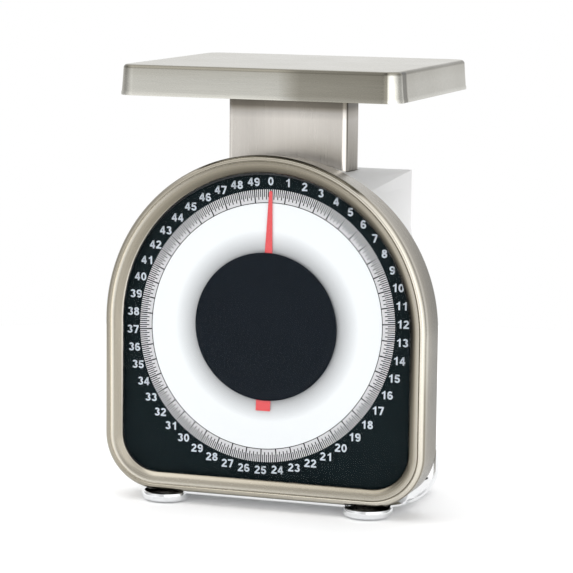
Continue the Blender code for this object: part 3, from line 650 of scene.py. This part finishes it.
# painted reflections by mm across the front, darker to the right, and by mm back from the corner along the
# right side, a painted dark stripe
PAN_FRONT_PAINTED_LIGHT = [(-70, 0.90), (12, 0.92), (24, 0.50), (69, 0.45)]
PAN_SIDE_PAINTED_LIGHT = [(0, 0.95), (1, 0.26), (7, 0.22), (9, 0.80), (120, 0.80)]
# painted reflections by degrees round a front corner, from the front to the side; the right corner has a
# painted highlight band
PAN_RIGHT_CORNER_PAINTED_LIGHT = [(0, 0.46), (14, 0.44), (22, 0.30), (27, 1.55), (55, 1.55), (72, 1.1), (90, 0.95)]
PAN_LEFT_CORNER_PAINTED_LIGHT = [(0, 1.0), (40, 0.8), (70, 0.5), (90, 0.7)]


def pan_tone(x, y, z, half, front, top):
    """Painted reflections: light and dark bands painted on the brushed rim; the flat top is painted one even
    tone.
    """
    if z > top - 0.4 * MM:
        return PAN_TOP_PAINTED_LIGHT
    if y < front + PAN_CORNER and abs(x) > half - PAN_CORNER:
        turn = math.degrees(math.atan2(abs(x) - half + PAN_CORNER, front + PAN_CORNER - y))
        return banded(turn, PAN_LEFT_CORNER_PAINTED_LIGHT if x < 0 else PAN_RIGHT_CORNER_PAINTED_LIGHT)
    if y < front + PAN_CORNER:
        return banded(x / MM, PAN_FRONT_PAINTED_LIGHT)
    if x > 0:
        return banded((y - front - PAN_CORNER) / MM, PAN_SIDE_PAINTED_LIGHT)
    return PAN_LEFT_PAINTED_LIGHT


def make_pan():
    """Pressed pan with a crisp rolled top edge, flared rim and a hemmed lower lip."""
    low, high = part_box("weighing_pan")
    half = (high[0] - low[0]) / 2
    front, back = low[1], high[1]
    top, bottom = high[2], low[2]
    lip = bottom + PAN_LIP

    def loop(inset, z):
        radius = max(PAN_CORNER - inset, 1.5 * MM)
        straight = half - inset - radius
        outline = [(share * straight, front + inset) for share in PAN_FRONT_POINTS]
        corners = rounded(half - inset, (front + inset, back - inset), radius)
        quarter = len(corners) // 4
        side = [(half - inset, front + PAN_CORNER + place * MM) for place, _ in PAN_SIDE_PAINTED_LIGHT[1:-1]]
        outline += corners[:quarter] + side + corners[quarter:]
        return [(x, y, z) for x, y in outline]

    def rim_tone(ring, factor=1.0):
        return [factor * pan_tone(*point, half, front, top) for point in ring]

    rings = [loop(PAN_TOP_INSET, top)]
    tone = [PAN_TOP_PAINTED_LIGHT] * len(rings[0])
    for step, factor in enumerate(PAN_EDGE_PAINTED_LIGHT):
        turn = math.radians(90 * step / (len(PAN_EDGE_PAINTED_LIGHT) - 1))
        inset = PAN_FLARE + PAN_EDGE * (1 - math.sin(turn))
        rings.append(loop(inset, top - PAN_EDGE * (1 - math.cos(turn))))
        tone += rim_tone(rings[-1], factor)
    # painted highlight on the hemmed lip, painted darker on its underside
    for inset, z, factor in ((0.9, (top + bottom) / 2, 1.0), (0.42, lip, 1.0), (0.12, lip - 0.8 * MM, 1.15),
                             (0.0, bottom + 0.4 * MM, 1.3), (0.15, bottom, 0.9), (1.2, bottom, 0.6)):
        rings.append(loop(inset * MM, z))
        tone += rim_tone(rings[-1], factor)
    for inset, z in ((SHEET + 0.45 * MM, lip), (PAN_FLARE + SHEET, top - PAN_EDGE),
                     (PAN_FLARE + PAN_EDGE, top - SHEET)):
        rings.append(loop(inset, z))
        tone += [PAN_INSIDE_PAINTED_SHADE] * len(rings[-1])
    add_piece("pan_shell", *skin(rings), "pan_steel", "pan_carriage", ["weighing_pan"], 40, tone=tone)


COLUMN_BEND = 3.0 * MM
BEND_STEPS = 10
TRAVEL = 20.1 * MM  # of the pan at full load
WINDOW_MARGIN = 2.5 * MM
WINDOW_GAP = 1.5 * MM
# painted reflections by mm across the front and by degrees round a bend, and a painted shadow of the pan by
# mm above the floor
COLUMN_FRONT_PAINTED_LIGHT = [(-32, 1.08), (-20, 1.10), (-8, 1.30), (4, 1.36), (16, 1.26), (32, 1.22)]
COLUMN_BEND_PAINTED_LIGHT = [(0, 1.0), (15, 1.55), (55, 1.55), (70, 0.35), (82, 0.4), (90, 0.85)]
COLUMN_HEIGHT_PAINTED_SHADOW = [(150, 0.95), (212, 1.0), (216, 0.72), (219, 0.28), (224, 0.18)]
# painted shade at the foot of the column, and a painted shadow of the pan at its head
COLUMN_FOOT_PAINTED_SHADE, COLUMN_HEAD_PAINTED_SHADOW = 0.8, 0.18
FLANGE_PAINTED_LIGHT = 0.85


def column_tone(x, y, half, front):
    """Painted reflection across the front, round each front bend (a painted bright line, then a dark one)
    and on the flanges.
    """
    if y < front + 0.1 * MM:
        return banded(x / MM, COLUMN_FRONT_PAINTED_LIGHT)
    if y < front + COLUMN_BEND + 0.1 * MM:
        turn = math.degrees(math.atan2(abs(x) - half + COLUMN_BEND, front + COLUMN_BEND - y))
        return banded(turn, COLUMN_BEND_PAINTED_LIGHT)
    return FLANGE_PAINTED_LIGHT


def make_column():
    """Folded channel, open at the back, with windows for the fixed beam and holes for the pins."""
    low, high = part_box("column")
    half = high[0]
    front, back = low[1], high[1]
    right, left = (half - COLUMN_BEND, front + COLUMN_BEND), (COLUMN_BEND - half, front + COLUMN_BEND)
    inner = COLUMN_BEND - SHEET
    outline = [(half, back)] + arc(right, COLUMN_BEND, 0, -90, BEND_STEPS)
    outline += [(place * MM, front) for place, _ in reversed(COLUMN_FRONT_PAINTED_LIGHT[1:-1])]
    outline += arc(left, COLUMN_BEND, 270, 180, BEND_STEPS) + [(-half, back)]
    outline += [(SHEET - half, back)] + arc(left, inner, 180, 270, BEND_STEPS)
    outline += arc(right, inner, -90, 0, BEND_STEPS) + [(half - SHEET, back)]
    heights = [(low[2] / MM, COLUMN_FOOT_PAINTED_SHADE)] + COLUMN_HEIGHT_PAINTED_SHADOW + [(high[2] / MM, COLUMN_HEAD_PAINTED_SHADOW)]
    rings = [[(x, y, place * MM) for x, y in outline] for place, _ in heights]
    tone = [level * column_tone(x, y, half, front) for _, level in heights for x, y in outline]
    column = add_piece("column_channel", *skin(rings), "column_steel", "pan_carriage", ["column"], 40,
                       tone=tone)
    beam_low, beam_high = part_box("spring_beam")
    past = 1.1 * half
    cutters = [box_mesh("window_cutter", (-past, beam_low[1] - WINDOW_GAP, beam_low[2] - WINDOW_MARGIN),
                        (past, beam_high[1] + WINDOW_GAP, beam_high[2] + TRAVEL + WINDOW_MARGIN))]
    for level in ("upper", "lower"):
        pin_low, pin_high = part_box(f"{level}_column_pin_left")
        middle = ((pin_low[1] + pin_high[1]) / 2, (pin_low[2] + pin_high[2]) / 2)
        radius = (pin_high[2] - pin_low[2]) / 2 + 0.3 * MM
        rings = disc_rings([(radius, -past), (radius, past)], middle, "X", HOLE_SIDES)
        cutters.append(plain_mesh("pin_cutter", *skin(rings)))
    apply_cuts(column, cutters)


# ---- dial ------------------------------------------------
RING_R = 74.3 * MM
NUMBER_R = 1.059 * RING_R
POUNDS = 50
PARTS = 8  # divisions to the pound
# where a division starts, as a share of the ring's radius, and half its thickness
POUND_TICK = (0.902, 0.34 * MM)
QUARTER_TICK = (0.926, 0.27 * MM)
EIGHTH_TICK = (0.945, 0.25 * MM)
RING_INNER = POUND_TICK[0] * RING_R
PRINT_T = 0.02 * MM
PRINT_GAP = PRINT_T / 2
SKEW_X, SKEW_Z = 0.028, 0.012  # the print sits a touch askew on its plate
PRINT_WIDE, PRINT_TALL = 0.988, 1.012
PRINT_SHIFT = -0.4 * MM
DIAL_BORE = 3.5 * MM
FIELD_BORE = 3.6 * MM


def askew(x, z):
    """A place on the printed dial, from its centre, moved by the print's skew and stretch."""
    return PRINT_SHIFT + PRINT_WIDE * x + SKEW_X * z, DIAL_Z + PRINT_TALL * z + SKEW_Z * x


def print_layer(level):
    """Front and back of a printed film; level 1 is next to the plate, and each has a thin gap behind it."""
    back = DIAL_FACE - level * PRINT_GAP - (level - 1) * PRINT_T
    return back - PRINT_T, back


def make_ticks():
    """Divisions of an eighth of a pound: pounds right across the ring, quarters and eighths shorter."""
    front, back = print_layer(3)
    points = []
    faces = []
    for k in range(POUNDS * PARTS):
        turn = math.tau * k / (POUNDS * PARTS)
        if k % PARTS == 0:
            share, half = POUND_TICK
        elif k % 2 == 0:
            share, half = QUARTER_TICK
        else:
            share, half = EIGHTH_TICK
        inner = share * RING_R
        out = Vector((math.sin(turn), 0, math.cos(turn)))
        side = Vector((math.cos(turn), 0, -math.sin(turn)))
        base = len(points)
        for y in (front, back):
            for reach, shift in ((inner, -half), (inner, half), (RING_R, half), (RING_R, -half)):
                p = out * reach + side * shift
                across, level = askew(p.x, p.z)
                points.append((across, y, level))
        face = [base + i for i in range(4)]
        rear = [base + 4 + i for i in range(4)]
        faces += [tuple(face), tuple(reversed(rear))]
        faces += [(face[i], face[(i + 1) % 4], rear[(i + 1) % 4], rear[i]) for i in range(4)]
    add_piece("dial_ticks", points, faces, "dial_tick", "root")


def flat_ring(name, inner, outer, level, material, sides=256):
    front, back = print_layer(level)
    rings = []
    for radius, y in ((outer, front), (outer, back), (inner, back), (inner, front)):
        places = [askew(across, up) for across, up in circle(radius, sides)]
        rings.append([(x, y, z) for x, z in places])
    add_piece(name, *skin(rings, ring_loop=True), material, "root")


DIGIT_HEIGHT = 4.5 * MM
DIGIT_WIDTH = 3.1 * MM
DIGIT_STEP = 3.70 * MM
STROKE_X, STROKE_Y = 0.30, 0.20  # thickness of a curved stroke, in shares of the width and the height
CURVE_STEPS = 24
# the parts of each digit in shares of its width and height: a list of corners, or a curved stroke as
# (centre x, centre y, reach x, reach y, start angle, end angle); 9 is a turned 6
DIGITS = {
    "0": [(0, 0, 0.5, 0.5, 0, 360)],
    "1": [[(0.04, -0.5), (0.34, -0.5), (0.34, 0.5), (0.10, 0.5), (0.0, 0.36), (-0.30, 0.26), (-0.30, 0.12),
           (0.04, 0.20)]],
    "2": [(0, 0.19, 0.48, 0.31, -28, 165), [(-0.5, -0.5), (0.5, -0.5), (0.5, -0.31), (-0.5, -0.31)],
          [(-0.5, -0.33), (-0.10, -0.33), (0.44, 0.06), (0.15, 0.14)]],
    "3": [(0, 0.245, 0.45, 0.255, -90, 165), (0, -0.21, 0.5, 0.29, -165, 90)],
    "4": [[(0.06, -0.5), (0.34, -0.5), (0.34, 0.5), (0.06, 0.5)],
          [(-0.5, -0.30), (0.5, -0.30), (0.5, -0.09), (-0.5, -0.09)],
          [(-0.5, -0.14), (-0.22, -0.14), (0.34, 0.5), (0.06, 0.5)]],
    "5": [(-0.02, -0.17, 0.5, 0.33, -165, 128), [(-0.38, 0.31), (0.42, 0.31), (0.42, 0.5), (-0.38, 0.5)],
          [(-0.46, -0.05), (-0.19, -0.05), (-0.12, 0.5), (-0.38, 0.5)]],
    "6": [(0, -0.185, 0.5, 0.315, 0, 360), (0, 0.08, 0.5, 0.42, 38, 180),
          [(-0.5, -0.2), (-0.20, -0.2), (-0.20, 0.1), (-0.5, 0.1)]],
    "7": [[(-0.5, 0.31), (0.5, 0.31), (0.5, 0.5), (-0.5, 0.5)],
          [(-0.28, -0.5), (0.04, -0.5), (0.5, 0.34), (0.18, 0.34)]],
    "8": [(0, 0.25, 0.44, 0.25, 0, 360), (0, -0.20, 0.5, 0.30, 0, 360)],
}


def curve_sides(x, y, reach_x, reach_y, start, end):
    """Outer and inner side of a curved stroke."""
    turns = [math.radians(start + (end - start) * k / CURVE_STEPS) for k in range(CURVE_STEPS + 1)]
    outer = [(x + reach_x * math.cos(t), y + reach_y * math.sin(t)) for t in turns]
    inner = [(x + (reach_x - STROKE_X) * math.cos(t), y + (reach_y - STROKE_Y) * math.sin(t)) for t in turns]
    return outer, inner


def digit_mesh(digit):
    """Points and faces of one bold digit, drawn flat in X and Y; each of its parts is a closed film."""
    if digit == "9":
        points, faces = digit_mesh("6")
        return [Vector((-p.x, -p.y, p.z)) for p in points], faces
    points = []
    faces = []
    top, low = PRINT_T / 2, -PRINT_T / 2
    for part in DIGITS[digit]:
        if isinstance(part, list):
            more_points, more_faces = skin([[(x, y, z) for x, y in part] for z in (low, top)])
        elif part[5] - part[4] == 360:
            outer, inner = (side[:-1] for side in curve_sides(*part))
            corners = ((outer, top), (outer, low), (inner, low), (inner, top))
            rings = [[(x, y, z) for x, y in side] for side, z in corners]
            more_points, more_faces = skin(rings, ring_loop=True)
        else:
            outer, inner = curve_sides(*part)
            more_points, more_faces = skin([[(x, y, z) for x, y in outer + inner[::-1]] for z in (low, top)])
        faces += [tuple(len(points) + i for i in face) for face in more_faces]
        points += [Vector((x * DIGIT_WIDTH, y * DIGIT_HEIGHT, z)) for x, y, z in more_points]
    return points, faces


def make_numbers():
    """Numbers 0 to 49 set upright round the ring."""
    front, back = print_layer(2)
    digits = {digit: digit_mesh(digit) for digit in "0123456789"}
    points = []
    faces = []
    for number in range(POUNDS):
        turn = math.tau * number / POUNDS
        text = str(number)
        for place, digit in enumerate(text):
            shift = (place - (len(text) - 1) / 2) * DIGIT_STEP
            base = len(points)
            x, z = askew(NUMBER_R * math.sin(turn), NUMBER_R * math.cos(turn))
            for p in digits[digit][0]:
                points.append((x + shift + p.x, (front + back) / 2 - p.z, z + p.y))
            faces += [tuple(base + i for i in face) for face in digits[digit][1]]
    add_piece("dial_numbers", points, faces, "dial_number", "root")


def make_dial():
    """Black plate with a bore for the arbor, and the printed films in front of it."""
    low, high = DIAL_LOW, DIAL_HIGH
    inset = SHROUD_R - high[0]
    edge = 0.15 * MM
    rings = [[(x, y, z) for x, z in tombstone(inset + extra)]
             for extra, y in ((edge, low[1]), (0, low[1] + edge), (0, high[1] - edge), (edge, high[1]))]
    plate = add_piece("dial_face", *skin(rings), "dial_black", "root", ["dial_plate"])
    ends = [(DIAL_BORE, low[1] - 1 * MM), (DIAL_BORE, high[1] + 1 * MM)]
    bore = disc_rings(ends, (0, DIAL_Z), "Y", HOLE_SIDES)
    apply_cuts(plate, [plain_mesh("bore_cutter", *skin(bore))])
    flat_ring("dial_white_field", FIELD_BORE, RING_R, 1, "dial_white")
    flat_ring("dial_tick_band", RING_INNER, RING_R, 2, "dial_grey")
    flat_ring("dial_inner_line", RING_INNER - 0.12 * MM, RING_INNER + 0.30 * MM, 3, "dial_tick")
    make_ticks()
    make_numbers()


POINTER_TAIL_HALF = 4.1 * MM
POINTER_MIDDLE_HALF = 3.0 * MM
POINTER_BLADE_HALF = 2.1 * MM
POINTER_TIP_HALF = 0.4 * MM
DISC_SIDES = 128
DISC_EDGE = [(1.2, 0.08), (0.3, 0.2), (0, 0.4)]  # in from the disc's rim and behind its face, in mm


def make_pointer():
    """Red blade with a square tail, and the slightly domed black disc that covers its hub."""
    low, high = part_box("pointer")
    disc_low, disc_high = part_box("hub_disc")
    radius = disc_high[0]
    face, back = disc_low[1], disc_high[1]
    profile = [(radius * 0.02, face), (radius * 0.6, face + 0.03 * MM)]
    profile += [(radius - inset * MM, face + drop * MM) for inset, drop in DISC_EDGE]
    profile += [(radius - 0.1 * MM, back)]
    rings = disc_rings(profile, (0, DIAL_Z), "Y", DISC_SIDES)
    add_piece("hub_cover", *skin(rings), "black_disc", "pointer_group", ["hub_disc"], 50)
    tip, tail = high[2] - DIAL_Z, DIAL_Z - low[2]
    right = [(POINTER_TAIL_HALF, -tail), (POINTER_TAIL_HALF, -radius + 4 * MM), (POINTER_MIDDLE_HALF, 0),
             (POINTER_BLADE_HALF, radius + 0.4 * MM), (0.9 * MM, tip - 0.8 * MM), (POINTER_TIP_HALF, tip)]
    left = [(-x, z) for x, z in right]
    outline = left[:1] + right + left[:0:-1]
    rings = [[(x + SKEW_X * z, y, DIAL_Z + z) for x, z in outline] for y in (low[1], high[1])]
    add_piece("pointer_blade", *skin(rings), "pointer_red", "pointer_group", ["pointer"])


# ---- base, housing and feet ------------------------------
BASE_TOP, BASE_LOW = 6.6 * MM, 4.7 * MM
BASE_HALF, BASE_CORNER = 76 * MM, 22 * MM
BASE_FRONT, BASE_BACK = FRONT + 5 * MM, FRONT + 97 * MM
HOUSING_BEND = FRONT + 25.4 * MM  # where the arch starts to turn into the rear box
CRADLE_BACK = HOUSING_BEND + 6 * MM
CRADLE_CORNER = 21 * MM
CRADLE_EDGE = 0.4 * MM
CRADLE_STEPS = 20
FOOT_R = 14 * MM
FOOT_SIDES, PAD_SIDES = 48, 40
# pressed foot and the hollow above it, as (in from its edge, height); pad, as (radius, height), all in mm
FOOT_PROFILE = [(3.8, 0.4), (2.4, 0.6), (1.2, 1.1), (0.4, 2.0), (0, 3.1), (0.1, 4.4), (0.4, 5.4)]
CUP_PROFILE = [(4, 3.4), (1.9, 4.0), (1.2, 8)]
PAD_PROFILE = [(6.6, 0.0), (7.4, 0.12), (7.9, 0.6), (8.0, 1.2), (7.9, 2.0)]
RECESS_PROFILE = [(8.3 * MM, -1 * MM), (8.3 * MM, 2.3 * MM)]


def cradle_outline(half, top):
    """The strip across the base: a flat foot with a rounded rise at each side."""
    level = BASE_LOW + CRADLE_CORNER
    right, left = (half - CRADLE_CORNER, level), (CRADLE_CORNER - half, level)
    inner = CRADLE_CORNER - SHEET
    outline = [(-half, top - 2 * MM)]
    outline += arc(left, CRADLE_CORNER, 180, 270, CRADLE_STEPS)
    outline += arc(right, CRADLE_CORNER, -90, 0, CRADLE_STEPS)
    outline += [(half, top - 2 * MM), (half - CRADLE_EDGE, top), (half - SHEET, top)]
    outline += arc(right, inner, 0, -90, CRADLE_STEPS) + arc(left, inner, 270, 180, CRADLE_STEPS)
    return outline + [(SHEET - half, top), (CRADLE_EDGE - half, top)]


def make_base():
    """Plated base with its cradle and its four pressed feet, each with a rubber pad."""
    _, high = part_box("base_plate")
    rings = []
    for inset, z in ((0.7, BASE_TOP), (0.2, BASE_TOP - 0.3 * MM), (0.0, (BASE_TOP + BASE_LOW) / 2),
                     (0.2, BASE_LOW + 0.3 * MM), (0.7, BASE_LOW)):
        span = (BASE_FRONT + inset * MM, BASE_BACK - inset * MM)
        rings.append([(x, y, z) for x, y in rounded(BASE_HALF - inset * MM, span, BASE_CORNER - inset * MM)])
    plate = add_piece("base_pressing", *skin(rings), "chrome_plate", "root", ["base_plate"], 45)
    rings = [[(x, y, z) for x, z in cradle_outline(high[0], high[2])] for y in (HOUSING_BEND, CRADLE_BACK)]
    joins = [plain_mesh("cradle_join", *skin(rings))]
    cuts = []
    for name in [f"foot_pad_{end}_{side}" for end in ("front", "rear") for side in ("left", "right")]:
        pad_low, pad_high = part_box(name)
        middle = ((pad_low[0] + pad_high[0]) / 2, (pad_low[1] + pad_high[1]) / 2)
        foot, cup = ([(FOOT_R - inset * MM, z * MM) for inset, z in profile]
                     for profile in (FOOT_PROFILE, CUP_PROFILE))
        joins.append(plain_mesh("foot_join", *skin(disc_rings(foot, middle, "Z", FOOT_SIDES))))
        cuts.append(plain_mesh("cup_cutter", *skin(disc_rings(cup, middle, "Z", FOOT_SIDES))))
        cuts.append(plain_mesh("recess_cutter", *skin(disc_rings(RECESS_PROFILE, middle, "Z", FOOT_SIDES))))
        pad = disc_rings([(radius * MM, z * MM) for radius, z in PAD_PROFILE], middle, "Z", PAD_SIDES)
        add_piece(f"{name}_rubber", *skin(pad), "rubber", "root", [name])
    apply_cuts(plate, joins, "UNION")
    apply_cuts(plate, cuts, "DIFFERENCE")


FOLD_LOW, FOLD_HIGH = 53.0, 62.0  # degrees up the arch where the box's top fold lies
HOUSING_RINGS = 12
HOUSING_ANGLE = 7  # degrees; edges that turn more than this stay sharp
HOUSING_STEPS = (72, 12)
REAR_HALF, REAR_TOP = 54.5 * MM, 181 * MM
SLOT_LOW, SLOT_HIGH = 170 * MM, 200 * MM
FLOOR_HOLE_HALF, FLOOR_HOLE_BACK, FLOOR_HOLE_TOP = 55 * MM, FRONT + 93.5 * MM, 12 * MM


def rear_match(inset, half, floor, top):
    """The rear box's outline, with one point for each point of the arch's outline."""
    outline = tombstone(inset, *HOUSING_STEPS)
    foot = min(z for _, z in outline)
    matched = []
    for x, z in outline:
        angle = math.degrees(math.atan2(z - DIAL_Z, abs(x)))
        if z < DIAL_Z:
            level = floor + (z - foot) * (DIAL_Z - floor) / (DIAL_Z - foot)
            matched.append((math.copysign(half, x), level))
        elif angle <= FOLD_LOW:
            matched.append((math.copysign(half, x), z))
        elif angle <= FOLD_HIGH:
            matched.append((math.copysign(half, x), top))
        else:
            share = x / ((SHROUD_R - inset) * math.cos(math.radians(FOLD_HIGH)))
            matched.append((half * share, top))
    return matched


def make_housing():
    """Painted cover that runs from the arch at the front to a plain box at the back."""
    low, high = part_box("rear_housing")
    inset = SHROUD_R - high[0]
    front, back = low[1], high[1]

    def shell(extra, back_y):
        outline = tombstone(inset + extra, *HOUSING_STEPS)
        rear = rear_match(inset, REAR_HALF - extra, low[2] + extra, REAR_TOP - extra)
        rings = [[(x, front, z) for x, z in outline]]
        for k in range(HOUSING_RINGS + 1):
            share = k / HOUSING_RINGS
            y = HOUSING_BEND + (back_y - HOUSING_BEND) * share
            rings.append([(x + (rear_x - x) * share, y, z + (rear_z - z) * share)
                          for (x, z), (rear_x, rear_z) in zip(outline, rear)])
        return rings

    rings = shell(0, back)[::-1] + shell(SHEET, back - SHEET)
    cover = add_piece("housing_shell", *skin(rings), "white_paint", "root", ["rear_housing"], HOUSING_ANGLE)
    face_outwards(cover.data, merge=0.01 * MM)
    column_low, column_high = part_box("column")
    slot = box_mesh("slot_cutter", (column_low[0] - 1 * MM, column_low[1] - 1 * MM, SLOT_LOW),
                    (column_high[0] + 1 * MM, column_high[1] + 1 * MM, SLOT_HIGH))
    floor_hole = box_mesh("floor_cutter", (-FLOOR_HOLE_HALF, HOUSING_BEND - 1 * MM, 0),
                          (FLOOR_HOLE_HALF, FLOOR_HOLE_BACK, FLOOR_HOLE_TOP))
    apply_cuts(cover, [slot, floor_hole], angle=HOUSING_ANGLE)


# ---- springs and knob ------------------------------------
WIRE = 0.85 * MM  # radius of the wire
HOOK = 3 * MM  # height of a hook's quarter turn
HOOK_STEPS = 8
COIL_START = 6 * MM  # from the spring's end to its first turn
TURNS, STEPS_PER_TURN, WIRE_SIDES = 26, 24, 10


def make_spring(name):
    """Close-wound extension spring with a hook at each end, from the load bar to the yoke."""
    low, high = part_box(name)
    x, y = (low[0] + high[0]) / 2, (low[1] + high[1]) / 2
    coil_r = (high[0] - low[0]) / 2 - WIRE
    coil_low, coil_high = low[2] + COIL_START, high[2] - COIL_START

    def hook(first, middle):
        turns = [math.radians(first + 90 * k / HOOK_STEPS) for k in range(HOOK_STEPS + 1)]
        return [Vector((x + coil_r * 0.5 * math.cos(t), y, middle + HOOK * math.sin(t))) for t in turns]

    path = hook(-90, low[2] + WIRE + HOOK)
    steps = TURNS * STEPS_PER_TURN
    for k in range(steps + 1):
        turn = math.tau * k / STEPS_PER_TURN
        path.append(Vector((x + coil_r * math.cos(turn), y + coil_r * math.sin(turn),
                            coil_low + (coil_high - coil_low) * k / steps)))
    path += hook(0, high[2] - WIRE - HOOK)
    coil = add_piece(f"{name}_coil", *tube(path, WIRE, WIRE_SIDES), "spring_steel", None, [name], 60)
    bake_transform(coil)


def tube(path, radius, sides):
    """A round wire along a path."""
    turns = [math.tau * s / sides for s in range(sides)]
    rings = []
    side = None
    for i, point in enumerate(path):
        ahead = (path[min(i + 1, len(path) - 1)] - path[max(i - 1, 0)]).normalized()
        if side is None:
            side = ahead.orthogonal().normalized()
        side = (side - ahead * side.dot(ahead)).normalized()
        other = ahead.cross(side)
        rings.append([point + (side * math.cos(t) + other * math.sin(t)) * radius for t in turns])
    return skin(rings)


KNOB_RIBS, STEPS_PER_RIB, RIB_DEPTH = 30, 6, 0.5 * MM
# shares of the knob's radius, of its height and of the depth of its ribs
KNOB_PROFILE = [(0.55, 0, 0), (0.86, 0.02, 0), (0.93, 0.06, 0.3), (1.0, 0.14, 1), (1.0, 0.86, 1),
                (0.93, 0.95, 0.3), (0.84, 1.0, 0), (0.70, 1.0, 0), (0.62, 0.93, 0), (0.3, 0.93, 0)]


def make_knob():
    """Knurled zero knob with a dished top."""
    low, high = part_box("zero_knob")
    middle_y = (low[1] + high[1]) / 2
    radius = (high[0] - low[0]) / 2
    height = high[2] - low[2]
    sides = KNOB_RIBS * STEPS_PER_RIB
    rings = []
    for share, level, knurl in KNOB_PROFILE:
        ring = []
        for i in range(sides):
            turn = math.tau * i / sides
            reach = radius * share - RIB_DEPTH * knurl * (0.5 - 0.5 * math.cos(KNOB_RIBS * turn))
            ring.append((reach * math.cos(turn), middle_y + reach * math.sin(turn), low[2] + height * level))
        rings.append(ring)
    add_piece("zero_knob_knurled", *skin(rings), "black_plastic", "zero_adjuster", ["zero_knob"], 50)


# ---- everything else keeps its CAD shape -----------------
def finish_cad_nodes():
    """Each CAD node that still shows gets the procedural material of its slot."""
    slots = {part["node"]: part["material_slot"] for part in frame["record"]["subparts"]}
    known = {"stainless_steel": "column_steel", "dial_print": "dial_black", "brass": "brass_turned"}
    for name, node in frame["nodes"].items():
        slot = slots[name]
        material = MATERIALS[known.get(slot, slot)]
        node.data.materials.clear()
        node.data.materials.append(material)


make_camera()
make_world()
make_floor()
make_key_light()
make_materials()
make_shroud()
make_pan()
make_column()
make_dial()
make_pointer()
make_base()
make_housing()
make_spring("spring_left")
make_spring("spring_right")
make_knob()
finish_cad_nodes()
